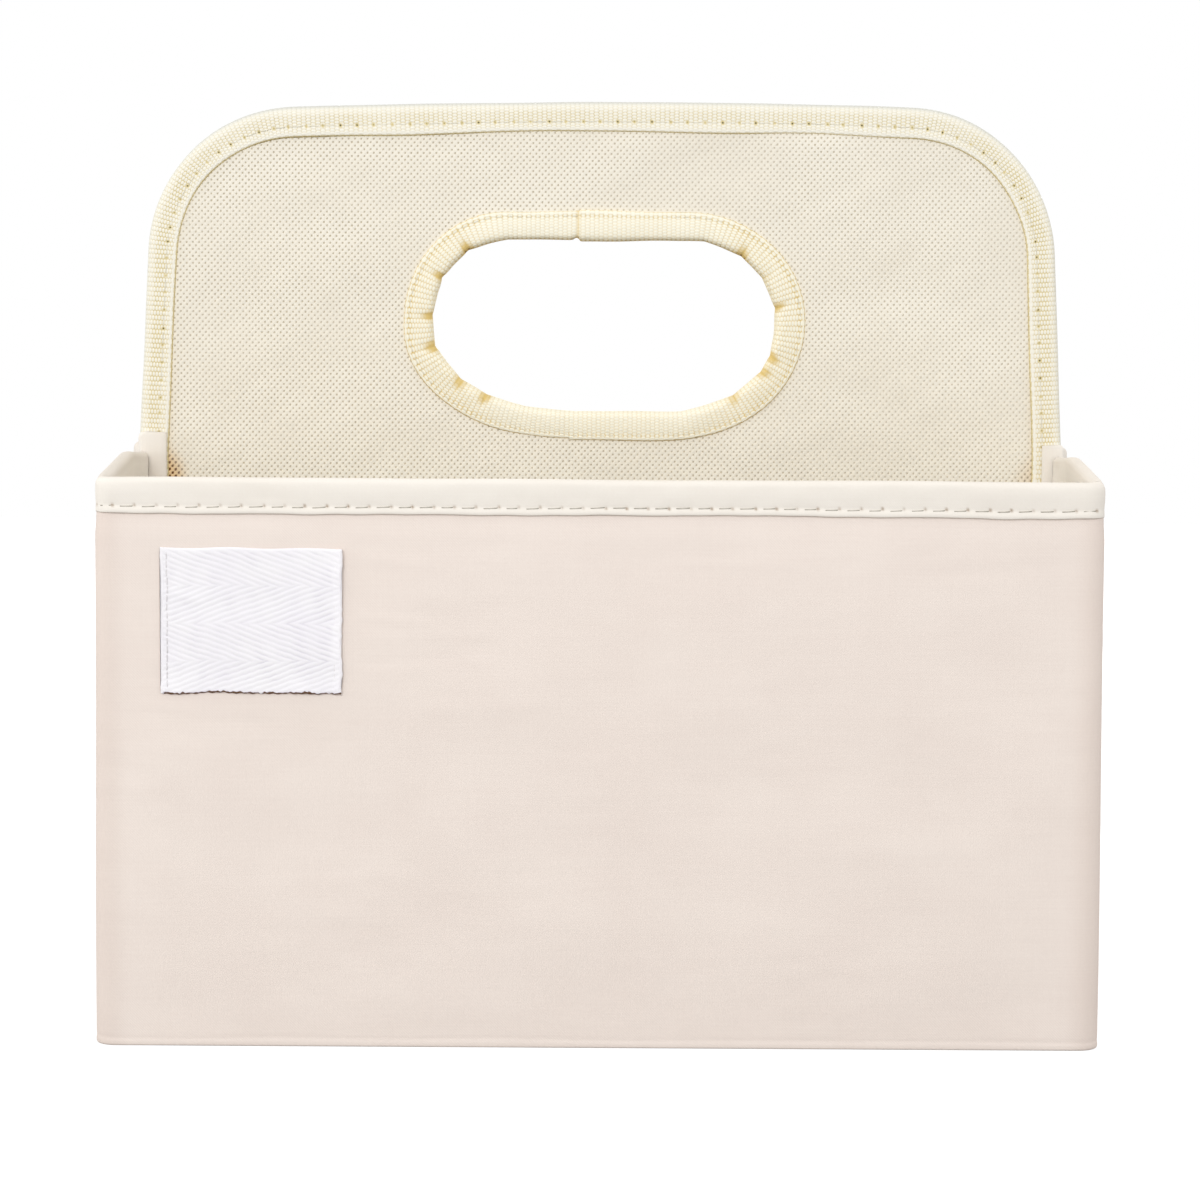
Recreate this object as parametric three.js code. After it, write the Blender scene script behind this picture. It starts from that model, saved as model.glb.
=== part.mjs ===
// Diaper caddy: a cloth box stiffened with card, parted in two by an upright handle panel with a hand hole.
// Millimetres, +Z up, +X to the right seen from the front, the front faces -Y.
// The origin is the middle of the base.
import * as THREE from "three";

// Driving sizes of the whole caddy, over its trims.
const boxWidth = 307;
const boxDepth = 178;
const boxHeight = 174;
const caddyHeight = 287.5;

// The play left between two sewn layers.
const seatGap = 0.3;

// Wall layers, from the outside in.
const coverCloth = 0.8;
const wallCard = 1.8;
const liningCloth = 0.6;
const cornerRadius = 6;
const cardCornerRadius = 3;

// The off-white cloth folded over the rim, and how far the cards reach up into its fold.
const bindingCloth = 0.6;
const bindingWidth = 10.3;
const cardRiseShare = 0.57;

// Towards the middle of each side wall the rim rises a little, and the cloth runs past its card and is
// drawn in to the handle panel's edge.
const seamRise = 2.6;
const seamDrawIn = 3.3;
const seamHalfLength = 22;
const seamCardMargin = 1;

// The handle panel: its layers, and its outline, measured over the tape round its edge.
const handleCard = 2.4;
const facingCloth = 0.6;
const handleInset = 4.6;
const shoulderRadius = 48;
const shoulderTaper = 3.2;
const crownRise = 1.5;

// The woven tape folded over the handle panel's edge.
const edgeTapeThickness = 1;
const edgeTapeWidth = 9.3;
const edgeTapeFold = 1.8;

// The opening inside the hand hole's tape. Each corner is a quarter of an ellipse.
const holeWidth = 110.4;
const holeRiseShare = 0.485;
const holeCentreShare = 0.374;
const holeOffset = 1.1;
const holeUpperLeftLength = 24.5;
const holeUpperLeftRise = 24.5;
const holeUpperRightLength = 28;
const holeUpperRightRise = 27;
const holeLowerLeftLength = 44;
const holeLowerLeftRise = 26;
const holeLowerRightLength = 34;
const holeLowerRightRise = 27.5;

// The tape folded round the hand hole, gathered into pleats where it turns the two ends.
const holeTapeThickness = 1;
const holeTapeWidth = 9;
const holeTapeFold = 1.8;
const pleatsPerEnd = 7;
const pleatReach = 0.9;
const pleatSwell = 0.5;

// The cloth folded over each upright edge of the handle panel, where it is sewn between the side walls.
const jointCloth = 0.6;
const jointFold = 1.5;
const rightJointWidth = 7.6;
const rightJointAboveRim = 5.3;
const leftJointWidth = 9.4;
const leftJointAboveRim = 8;

// The blank woven patch on the front.
const patchWidth = 55;
const patchHeight = 44;
const patchCloth = 0.6;
const patchFromLeft = 20.7;
const patchBelowRim = 20.5;
const patchCornerRadius = 0.8;

// The loose floor inserts, one in each half, lifted out to wash the caddy.
const insertCard = 1.8;
const insertCloth = 0.6;
const insertClearance = 1;
const insertCornerRadius = 4;

// How finely the round stretches are cut.
const cornerSteps = 6;
const foldSteps = 6;
const seamSteps = 6;
const shoulderSteps = 14;
const crownSteps = 4;
const holeCornerSteps = 24;
const holeStraightSteps = 3;

const cloth = (color, roughness) => new THREE.MeshStandardMaterial({ color, roughness, metalness: 0 });
const coverMaterial = cloth(0xebe0d6, 0.85);
const bindingMaterial = cloth(0xfaf5ea, 0.85);
const tapeMaterial = cloth(0xfcf3cf, 0.7);
const liningMaterial = cloth(0xf2ebdd, 0.9);
const patchMaterial = cloth(0xf6f4fa, 0.9);
const cardMaterial = cloth(0xb59a74, 0.95);

// Wall planes, measured out from the middle of the caddy, and the depths of the layers behind the cover.
const bindingProud = seatGap + bindingCloth;
const coverX = boxWidth / 2 - bindingProud;
const coverY = boxDepth / 2 - bindingProud;
const cardDepth = coverCloth + seatGap;
const liningDepth = cardDepth + wallCard + seatGap;
const wallThickness = liningDepth + liningCloth;
const cornerX = coverX - cornerRadius;
const cornerY = coverY - cornerRadius;

// Levels, measured up from the base.
const bindingHalf = wallThickness / 2 + bindingProud;
const clothTop = boxHeight - bindingHalf;
const cardTop = clothTop + cardRiseShare * bindingHalf;
const floorLow = coverCloth + seatGap;
const standingLow = floorLow + liningCloth + seatGap;

// Half thicknesses of the handle panel, of the tapes folded over it and of the cloth folded over those.
const facingHalf = handleCard / 2 + seatGap;
const panelHalf = facingHalf + facingCloth;
const edgeTapeHalf = panelHalf + seatGap + edgeTapeThickness;
const holeTapeHalf = panelHalf + seatGap + holeTapeThickness;
const jointHalf = edgeTapeHalf + seatGap + jointCloth;
const seamEnd = jointHalf + seatGap;

const caddy = new THREE.Group();

// One named piece with its own copy of the material.
function piece(name, geometry, material) {
  const mesh = new THREE.Mesh(geometry, material.clone());
  mesh.name = name;
  caddy.add(mesh);
  return mesh;
}

// The same piece on the other side of the caddy, turned half round about Z.
function opposite(name, mesh) {
  const twin = piece(name, mesh.geometry, mesh.material);
  twin.rotation.z = Math.PI;
}

// The same form seen in a mirror that stands across the caddy's depth.
function mirrored(geometry) {
  const twin = geometry.clone().scale(1, -1, 1);
  const count = twin.index ? twin.index.count : twin.attributes.position.count;
  const corner = (i) => (twin.index ? twin.index.getX(i) : i);
  const faces = [];
  for (let i = 0; i < count; i += 3) faces.push(corner(i), corner(i + 2), corner(i + 1));
  return twin.setIndex(faces);
}

// Four alike pieces, one on each half of each side wall, from the one on the right in front.
function sidePieces(kind, geometry, material) {
  const rightFront = piece(`right_front_${kind}`, geometry, material);
  const rightRear = piece(`right_rear_${kind}`, mirrored(geometry), material);
  opposite(`left_rear_${kind}`, rightFront);
  opposite(`left_front_${kind}`, rightRear);
}

// A flat outline drawn in X and Y, raised along Z from low to high.
function upright(shape, low, high) {
  const settings = { depth: high - low, bevelEnabled: false, curveSegments: cornerSteps };
  return new THREE.ExtrudeGeometry(shape, settings).translate(0, 0, low);
}

// A flat outline drawn in X and Z, given thickness along Y from front to back.
function standing(shape, front, back) {
  return upright(shape, -back, -front).rotateX(Math.PI / 2);
}

// A rectangle with rounded corners, between its lowest and its highest corner.
function roundedRectangle(left, low, right, high, radius) {
  const shape = new THREE.Shape();
  shape.absarc(right - radius, low + radius, radius, -Math.PI / 2, 0);
  shape.absarc(right - radius, high - radius, radius, 0, Math.PI / 2);
  shape.absarc(left + radius, high - radius, radius, Math.PI / 2, Math.PI);
  shape.absarc(left + radius, low + radius, radius, Math.PI, 1.5 * Math.PI);
  return shape;
}

// Places along a stretch of an ellipse, from its half length and half height, each with its way outwards.
function ellipseStations(centre, length, height, startAngle, endAngle, steps) {
  const stations = [];
  for (let i = 0; i <= steps; i++) {
    const angle = THREE.MathUtils.lerp(startAngle, endAngle, i / steps);
    const point = new THREE.Vector2(length * Math.cos(angle), height * Math.sin(angle)).add(centre);
    const outward = new THREE.Vector2(height * Math.cos(angle), length * Math.sin(angle)).normalize();
    stations.push({ point, outward });
  }
  return stations;
}

// Places along a stretch of a circle.
function arcStations(centre, radius, startAngle, endAngle, steps) {
  return ellipseStations(centre, radius, radius, startAngle, endAngle, steps);
}

// The line through the stations, moved inwards by a depth.
function inset(stations, depth) {
  return stations.map(({ point, outward }) => point.clone().addScaledVector(outward, -depth));
}

// A closed skin through rings of equal count. A loop joins its last ring to its first, others are capped.
function loft(rings, section, isLoop) {
  const around = section.length;
  const faces = [];
  for (let i = 0; i < rings.length - (isLoop ? 0 : 1); i++) {
    const here = i * around;
    const next = ((i + 1) % rings.length) * around;
    for (let j = 0; j < around; j++) {
      const k = (j + 1) % around;
      faces.push(here + j, next + k, here + k);
      faces.push(here + j, next + j, next + k);
    }
  }
  if (!isLoop) {
    const end = (rings.length - 1) * around;
    for (const [a, b, c] of THREE.ShapeUtils.triangulateShape(section, [])) {
      faces.push(a, b, c);
      faces.push(end + a, end + c, end + b);
    }
  }
  const geometry = new THREE.BufferGeometry().setFromPoints(rings.flat());
  return geometry.setIndex(faces);
}

// Points round half an ellipse whose open side lies at the fold depth, as (depth, side).
function foldArc(fold, rise, half) {
  const points = [];
  for (let i = 0; i <= foldSteps; i++) {
    const turn = (Math.PI * i) / foldSteps;
    points.push(new THREE.Vector2(fold - rise * Math.sin(turn), half * Math.cos(turn)));
  }
  return points;
}

// The section of a strip folded over an edge, as (depth from the fold, side): two legs and a round fold.
function foldedSection(width, half, fold, thickness) {
  const innerHalf = half - thickness;
  const outer = foldArc(fold, fold, half);
  const inner = foldArc(fold, fold - thickness, innerHalf).reverse();
  const endsAt = (side) => new THREE.Vector2(width, side);
  return [endsAt(half), ...outer, endsAt(-half), endsAt(-innerHalf), ...inner, endsAt(innerHalf)];
}

// The cover's outer face seen from above: the front wall with both its corners.
function frontStations() {
  const left = new THREE.Vector2(-cornerX, -cornerY);
  const right = new THREE.Vector2(cornerX, -cornerY);
  return [
    ...arcStations(left, cornerRadius, Math.PI, 1.5 * Math.PI, cornerSteps),
    ...arcStations(right, cornerRadius, 1.5 * Math.PI, 2 * Math.PI, cornerSteps),
  ];
}

// The cover's outer face seen from above: the front half of the right wall, up to its seam.
function sideStations() {
  const stationAt = (y, drawIn) => ({
    point: new THREE.Vector2(coverX - drawIn, y),
    outward: new THREE.Vector2(1, 0),
    rise: (seamRise * (cornerY + y)) / cornerY,
  });
  const stations = [stationAt(seatGap - cornerY, 0)];
  for (let i = 0; i <= seamSteps; i++) {
    const y = THREE.MathUtils.lerp(seamHalfLength, seamEnd, i / seamSteps);
    const drawIn = seamDrawIn * Math.cos((Math.PI * y) / (2 * seamHalfLength)) ** 2;
    stations.push(stationAt(-y, drawIn));
  }
  return stations;
}

// The floor's outline, a depth behind the cover's face all round.
function floorShape(depth) {
  const centre = new THREE.Vector2(cornerX, -cornerY);
  const corner = arcStations(centre, cornerRadius, 1.5 * Math.PI, 2 * Math.PI, cornerSteps);
  const rightFront = inset([...corner, ...sideStations()], depth);
  const rightRear = rightFront.map(({ x, y }) => new THREE.Vector2(x, -y)).reverse();
  const rightHalf = [...rightFront, ...rightRear];
  const leftHalf = rightHalf.map((point) => point.clone().negate());
  return new THREE.Shape([...rightHalf, ...leftHalf]);
}

// One wall layer, from its depth behind the cover's face.
function wallLayer(stations, depth, thickness, low) {
  const outline = [...inset(stations, depth), ...inset(stations, depth + thickness).reverse()];
  return upright(new THREE.Shape(outline), low, clothTop);
}

function buildCovers() {
  const front = piece("front_cover", wallLayer(frontStations(), 0, coverCloth, 0), coverMaterial);
  opposite("back_cover", front);
  sidePieces("cover", wallLayer(sideStations(), 0, coverCloth, 0), coverMaterial);

  piece("bottom_cover", upright(floorShape(cardDepth), 0, coverCloth), coverMaterial);
}

function buildWallCards() {
  const front = roundedRectangle(-cornerX, floorLow, cornerX, cardTop, cardCornerRadius);
  const frontFace = cardDepth - coverY;
  const frontMesh = piece("front_card", standing(front, frontFace, frontFace + wallCard), cardMaterial);
  opposite("back_card", frontMesh);

  const seamSide = -seamHalfLength - seamCardMargin;
  const side = roundedRectangle(-cornerY, floorLow, seamSide, cardTop, cardCornerRadius);
  const sideFace = cardDepth - coverX;
  const sideGeometry = standing(side, sideFace, sideFace + wallCard).rotateZ(Math.PI / 2);
  sidePieces("card", sideGeometry, cardMaterial);
}

function buildLinings() {
  const front = wallLayer(frontStations(), liningDepth, liningCloth, standingLow);
  opposite("back_lining", piece("front_lining", front, liningMaterial));
  sidePieces("lining", wallLayer(sideStations(), liningDepth, liningCloth, standingLow), liningMaterial);

  const bottom = upright(floorShape(liningDepth), floorLow, floorLow + liningCloth);
  piece("bottom_lining", bottom, liningMaterial);
}

// A strip folded over the rim, along the stations of the cover's outer face.
function rimBinding(stations) {
  const section = foldedSection(bindingWidth, bindingHalf, bindingHalf, bindingCloth);
  const rings = stations.map(({ point, outward, rise = 0 }) =>
    section.map(({ x: depth, y: side }) => {
      const place = point.clone().addScaledVector(outward, side - wallThickness / 2);
      return new THREE.Vector3(place.x, place.y, boxHeight + rise - depth);
    }),
  );
  return loft(rings, section, false);
}

function buildBindings() {
  opposite("back_binding", piece("front_binding", rimBinding(frontStations()), bindingMaterial));
  sidePieces("binding", rimBinding(sideStations()), bindingMaterial);
}

// The right half of the handle panel's edge, from the base to the middle of the crown.
function handleHalfEdge() {
  const handleX = boxWidth / 2 - handleInset;
  const shoulderX = handleX - shoulderTaper - shoulderRadius;
  const centre = new THREE.Vector2(shoulderX, caddyHeight - crownRise - shoulderRadius);
  const sideways = new THREE.Vector2(1, 0);
  const stations = [
    { point: new THREE.Vector2(handleX, standingLow), outward: sideways },
    { point: new THREE.Vector2(handleX, boxHeight), outward: sideways },
    ...arcStations(centre, shoulderRadius, 0, Math.PI / 2, shoulderSteps),
  ];
  for (let i = 1; i <= crownSteps; i++) {
    const x = shoulderX * (1 - i / crownSteps);
    const z = caddyHeight - crownRise * (x / shoulderX) ** 2;
    stations.push({ point: new THREE.Vector2(x, z), outward: new THREE.Vector2(0, 1) });
  }
  return stations;
}

// The whole of the handle panel's edge, over its tape, from the base on the right to the base on the left.
function handleEdge() {
  const right = handleHalfEdge();
  const flip = (vector) => new THREE.Vector2(-vector.x, vector.y);
  const left = right.slice(0, -1).reverse();
  return [...right, ...left.map(({ point, outward }) => ({ point: flip(point), outward: flip(outward) }))];
}

// The corners of the hand hole, two at each end, anticlockwise. The side is 1 on the right, -1 on the left.
function holeEnds() {
  const upperLeft = { length: holeUpperLeftLength, height: holeUpperLeftRise };
  const lowerLeft = { length: holeLowerLeftLength, height: holeLowerLeftRise };
  const upperRight = { length: holeUpperRightLength, height: holeUpperRightRise };
  const lowerRight = { length: holeLowerRightLength, height: holeLowerRightRise };
  return [
    { side: 1, corners: [lowerRight, upperRight], next: upperLeft, startAngle: -Math.PI / 2 },
    { side: -1, corners: [upperLeft, lowerLeft], next: lowerRight, startAngle: Math.PI / 2 },
  ];
}

// The edge of the hand hole's opening. At each end, turn runs from 0 to 1 round its two corners.
function holeEdge() {
  const rise = caddyHeight - boxHeight;
  const halfHeight = (rise * holeRiseShare) / 2;
  const middle = boxHeight + rise * holeCentreShare;
  const stations = [];
  for (const { side, corners, next, startAngle } of holeEnds()) {
    const squeeze = Math.min(1, (2 * halfHeight) / (corners[0].height + corners[1].height));
    corners.forEach(({ length, height }, i) => {
      const level = (i === 0 ? -side : side) * (halfHeight - height * squeeze);
      const centre = new THREE.Vector2(holeOffset + side * (holeWidth / 2 - length), middle + level);
      const start = startAngle + (i * Math.PI) / 2;
      const end = start + Math.PI / 2;
      const arc = ellipseStations(centre, length, height * squeeze, start, end, holeCornerSteps);
      arc.forEach((station, step) => {
        stations.push({ ...station, turn: (i + step / holeCornerSteps) / 2 });
      });
    });
    stations.push(...holeStraight(side, middle + side * halfHeight, corners[1], next));
  }
  return stations.filter(({ point }, i) => i === 0 || point.distanceTo(stations[i - 1].point) > seatGap);
}

// Places along the top or the bottom of the hand hole, from the corner of one end to the corner of the next.
function holeStraight(side, level, corner, next) {
  const from = holeOffset + side * (holeWidth / 2 - corner.length);
  const to = holeOffset - side * (holeWidth / 2 - next.length);
  const stations = [];
  for (let i = 1; i < holeStraightSteps; i++) {
    const x = THREE.MathUtils.lerp(from, to, i / holeStraightSteps);
    stations.push({ point: new THREE.Vector2(x, level), outward: new THREE.Vector2(0, side), turn: 0 });
  }
  return stations;
}

// The handle panel's outline, as far inside its tapes as their folds are deep.
function panelShape() {
  const shape = new THREE.Shape(inset(handleEdge(), edgeTapeFold));
  shape.holes.push(new THREE.Path(inset(holeEdge(), -holeTapeFold)));
  return shape;
}

function buildHandlePanel() {
  const shape = panelShape();
  piece("handle_card", standing(shape, -handleCard / 2, handleCard / 2), cardMaterial);
  piece("handle_front_facing", standing(shape, -panelHalf, -facingHalf), liningMaterial);
  piece("handle_rear_facing", standing(shape, facingHalf, panelHalf), liningMaterial);
}

function buildEdgeTape() {
  const section = foldedSection(edgeTapeWidth, edgeTapeHalf, edgeTapeFold, edgeTapeThickness);
  const rings = handleEdge().map(({ point, outward }) =>
    section.map(({ x: depth, y: side }) => {
      const place = point.clone().addScaledVector(outward, -depth);
      return new THREE.Vector3(place.x, side, place.y);
    }),
  );
  piece("handle_edge_tape", loft(rings, section, false), tapeMaterial);
}

// The tape round the hand hole. Where it turns, its fold gathers into pleats that reach into the opening.
function buildHoleTape() {
  const section = foldedSection(holeTapeWidth, holeTapeHalf, holeTapeFold, holeTapeThickness);
  const rings = holeEdge().map(({ point, outward, turn }) => {
    const gather = Math.sin(Math.PI * turn) * Math.sin(Math.PI * pleatsPerEnd * turn) ** 2;
    return section.map(({ x: depth, y: side }, i) => {
      const onOuterFold = i > 0 && i <= foldSteps + 1;
      const reach = onOuterFold ? gather * pleatReach : 0;
      const swell = onOuterFold ? (gather * pleatSwell * side) / holeTapeHalf : 0;
      const place = point.clone().addScaledVector(outward, depth - reach);
      return new THREE.Vector3(place.x, side + swell, place.y);
    });
  });
  piece("hand_hole_tape", loft(rings.reverse(), section, true), tapeMaterial);
}

// One joint cloth. The side is 1 on the right and -1 on the left.
function foldedJoint(side, width, aboveRim) {
  const section = foldedSection(width, jointHalf, jointFold, jointCloth);
  const foldX = boxWidth / 2 - handleInset + seatGap + jointCloth;
  const outline = section.map((point) => new THREE.Vector2(side * (foldX - point.x), point.y));
  return upright(new THREE.Shape(outline), standingLow, boxHeight + aboveRim);
}

function buildJoints() {
  const right = foldedJoint(1, rightJointWidth, rightJointAboveRim);
  const left = foldedJoint(-1, leftJointWidth, leftJointAboveRim);
  piece("right_joint_cloth", right, bindingMaterial);
  piece("left_joint_cloth", left, bindingMaterial);
}

function buildPatch() {
  const left = patchFromLeft - boxWidth / 2;
  const high = boxHeight - patchBelowRim;
  const shape = roundedRectangle(left, high - patchHeight, left + patchWidth, high, patchCornerRadius);
  const back = -coverY - seatGap;
  piece("front_patch", standing(shape, back - patchCloth, back), patchMaterial);
}

function buildInserts() {
  const bindingDepth = wallThickness + bindingProud + insertClearance;
  const x = coverX - bindingDepth - seamDrawIn;
  const front = bindingDepth - coverY;
  const back = -jointHalf - insertClearance;
  const shape = roundedRectangle(-x, front, x, back, insertCornerRadius);
  const clothLow = standingLow + insertCard + seatGap;
  const card = upright(shape, standingLow, standingLow + insertCard);
  const top = upright(shape, clothLow, clothLow + insertCloth);
  opposite("rear_insert_card", piece("front_insert_card", card, cardMaterial));
  opposite("rear_insert_cloth", piece("front_insert_cloth", top, liningMaterial));
}

buildCovers();
buildWallCards();
buildLinings();
buildBindings();
buildHandlePanel();
buildEdgeTape();
buildHoleTape();
buildJoints();
buildPatch();
buildInserts();

export default caddy;
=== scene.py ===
import math

import bpy
import numpy as np
from mathutils import Matrix, Vector

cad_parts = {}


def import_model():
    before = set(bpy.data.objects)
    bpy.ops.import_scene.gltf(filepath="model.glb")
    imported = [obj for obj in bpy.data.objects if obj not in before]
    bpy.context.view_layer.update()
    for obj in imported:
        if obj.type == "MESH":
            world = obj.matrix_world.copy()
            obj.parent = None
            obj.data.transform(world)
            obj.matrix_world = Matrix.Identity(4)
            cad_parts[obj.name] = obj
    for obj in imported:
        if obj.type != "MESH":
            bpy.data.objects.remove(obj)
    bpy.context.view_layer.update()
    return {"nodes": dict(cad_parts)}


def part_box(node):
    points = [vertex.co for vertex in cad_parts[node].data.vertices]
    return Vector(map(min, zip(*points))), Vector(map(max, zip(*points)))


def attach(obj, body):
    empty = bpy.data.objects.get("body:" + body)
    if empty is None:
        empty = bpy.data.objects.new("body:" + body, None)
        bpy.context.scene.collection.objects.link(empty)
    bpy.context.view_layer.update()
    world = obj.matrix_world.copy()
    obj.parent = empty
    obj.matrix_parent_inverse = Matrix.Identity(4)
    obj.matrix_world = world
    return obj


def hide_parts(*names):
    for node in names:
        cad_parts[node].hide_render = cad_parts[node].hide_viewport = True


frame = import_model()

# Lengths are millimetres until a mesh is made. X to the right, Y to the back, Z up, as in the CAD.
MM = 0.001


def span(node):
    """A CAD node's lowest and highest corners."""
    low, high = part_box(node)
    return np.array(low) / MM, np.array(high) / MM


# Planes and levels of the CAD solids that the cloth follows.
COVER_X = span("right_front_cover")[1][0]
COVER_Y = -span("front_cover")[0][1]
CLOTH_TOP = span("front_cover")[1][2]
RIM = span("front_binding")[1][2]
PANEL_X = span("handle_edge_tape")[1][0]
PANEL_LOW = span("handle_edge_tape")[0][2]
PANEL_TOP = span("handle_edge_tape")[1][2]
FACING_FACE = span("handle_rear_facing")[1][1]
FACING_BACK = span("handle_rear_facing")[0][1]
LINING_LOW = span("front_lining")[0][2]
SEAM_END = -span("right_front_cover")[1][1]

# The thickness of the cloths, and of all layers of a wall together.
CLOTH = 0.6
WALL = 3.8
WALL_MIDDLE = WALL / 2

# The box's upright corners, and the gap left there between two pieces of cloth.
CORNER = 5.0
CORNER_X, CORNER_Y = COVER_X - CORNER, COVER_Y - CORNER
SEAM_GAP = 0.07

# Towards the handle panel's seam the rim of a side wall rises, and at the seam it drops a little. The wall is
# drawn in there, and its cloth goes a little past the end of its CAD solid.
SEAM_RISE = 2.6
SEAM_DROP = 1.7
SEAM_DRAW_IN = 3.3
SEAM_HALF = 22.0
SEAM_PAST = 0.18
FAR = 9.0  # stands for a distance at which nothing changes any more


# Small tools
def smooth(x, start, end):
    """0 before start, 1 after end, with a soft step between."""
    t = np.clip((np.asarray(x, float) - start) / (end - start), 0, 1)
    return t * t * (3 - 2 * t)


def bell(x, width):
    return np.exp(-((np.asarray(x, float) / width) ** 2))


def edge_roll(off, reach):
    """1 at an edge, falling to 0 at the reach."""
    return np.clip(1 - off / reach, 0, 1) ** 2


def corner_drop(past, radius):
    """How far a round corner falls back at a distance past its start."""
    return radius - np.sqrt(np.maximum(radius**2 - past**2, 0))


def uneven(x, y, length, seed, stretch=1.0):
    """Soft unevenness between about -1 and 1: waves of many directions, each about as long as length."""
    draw = np.random.default_rng(seed)
    total = np.zeros(np.broadcast(x, y).shape)
    count = 9
    for _ in range(count):
        angle, phase = draw.uniform(0, 2 * np.pi, 2)
        pace = draw.uniform(0.6, 1.5) / length
        total += np.sin(2 * np.pi * pace * (np.cos(angle) * x / stretch + np.sin(angle) * y) + phase)
    return total / math.sqrt(count)


def waver(s, length, seed):
    return uneven(s, np.zeros_like(s), length, seed)


def waves(x, y, seed, kinds):
    """Several kinds of unevenness at once, each a height, a length and a stretch along x."""
    return sum(height * uneven(x, y, length, seed + i, stretch)
               for i, (height, length, stretch) in enumerate(kinds))


def soften(points, reach, loop):
    """The same line with its kinks rounded off over about the reach, its ends kept."""
    points = np.asarray(points, float)
    weights = bell(np.arange(-reach, reach + 1), reach / 2)
    weights /= weights.sum()
    if loop:
        padded = np.vstack([points[-reach:], points, points[:reach]])
    else:
        steps = np.arange(reach, 0, -1)[:, None]
        before = points[0] + (points[0] - points[1]) * steps
        after = points[-1] + (points[-1] - points[-2]) * steps[::-1]
        padded = np.vstack([before, points, after])
    return np.stack([np.convolve(padded[:, k], weights, "valid") for k in (0, 1)], 1)


def distances(points):
    """How far along its line each point lies."""
    return np.concatenate([[0], np.cumsum(np.linalg.norm(np.diff(points, axis=0), axis=1))])


def between(at, far, points):
    """Places at distances along a line whose points lie at the distances far."""
    return np.stack([np.interp(at, far, points[:, k]) for k in (0, 1)], -1)


def closed(points):
    return np.vstack([points, points[:1]])


def right_hand(way):
    """Unit vectors to the right of ways."""
    way = way / np.linalg.norm(way, axis=1)[:, None]
    return np.stack([way[:, 1], -way[:, 0]], 1)


class Line:
    """A flat line of even steps, with the way outwards on its right hand, and the distance along it."""

    def __init__(self, corners, step, loop=False, reach=0, whole=None):
        line = self.stepped(np.asarray(corners, float), 0.5, loop, None)
        if reach:
            line = soften(line, reach, loop)
        line = self.stepped(line, step, loop, whole)
        ahead, behind = np.roll(line, -1, 0), np.roll(line, 1, 0)
        if not loop:
            ahead[-1], behind[0] = line[-1], line[0]
        self.points, self.out, self.loop = line, right_hand(ahead - behind), loop
        self.s = distances(closed(line) if loop else line)
        self.length = self.s[-1]
        if loop:
            self.s = self.s[:-1]

    @staticmethod
    def stepped(line, step, loop, whole):
        if loop:
            line = closed(line)
        far = distances(line)
        count = whole or max(2, int(round(far[-1] / step)))
        at = np.linspace(0, far[-1], count + 1)
        return between(at[:count] if loop else at, far, line)

    def at(self, s):
        """Places and ways outwards at distances along the line."""
        if self.loop:
            far = np.append(self.s, self.length)
            return [between(np.mod(s, self.length), far, closed(a)) for a in (self.points, self.out)]
        return [between(s, self.s, a) for a in (self.points, self.out)]


def arc(centre, radius, start, end, steps=16):
    angles = np.radians(np.linspace(start, end, steps + 1))
    return np.stack([centre[0] + radius * np.cos(angles), centre[1] + radius * np.sin(angles)], 1)


# Meshes
def added(name, data):
    """An object of the scene."""
    obj = bpy.data.objects.new(name, data)
    bpy.context.scene.collection.objects.link(obj)
    return obj


def make(name, points, polygons, corner_places, shade, material):
    """An object from points in mm, polygons as arrays of equal corner counts, each corner's place on the flat
    cloth in mm, and how far each point lies in the shade of a fold or a hole."""
    mesh = bpy.data.meshes.new(name)
    mesh.vertices.add(len(points))
    mesh.vertices.foreach_set("co", (points * MM).astype(np.float32).ravel())
    loops = np.concatenate([p.ravel() for p in polygons]).astype(np.int32)
    sizes = np.concatenate([np.full(len(p), p.shape[1]) for p in polygons])
    mesh.loops.add(len(loops))
    mesh.loops.foreach_set("vertex_index", loops)
    mesh.polygons.add(len(sizes))
    mesh.polygons.foreach_set("loop_start", np.concatenate([[0], np.cumsum(sizes)[:-1]]).astype(np.int32))
    mesh.update(calc_edges=True)
    layer = mesh.uv_layers.new(name="cloth")
    layer.uv.foreach_set("vector", np.concatenate(corner_places).astype(np.float32).ravel())
    mesh.attributes.new("shade", "FLOAT", "POINT").data.foreach_set("value", shade.astype(np.float32).ravel())
    mesh.shade_smooth()
    mesh.materials.append(material)
    mesh.validate()
    return added(name, mesh)


def dressed(obj, nodes, body="caddy"):
    """The piece takes the place of its CAD nodes and moves with their body."""
    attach(obj, body)
    if nodes:
        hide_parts(*nodes)
    return obj


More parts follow.
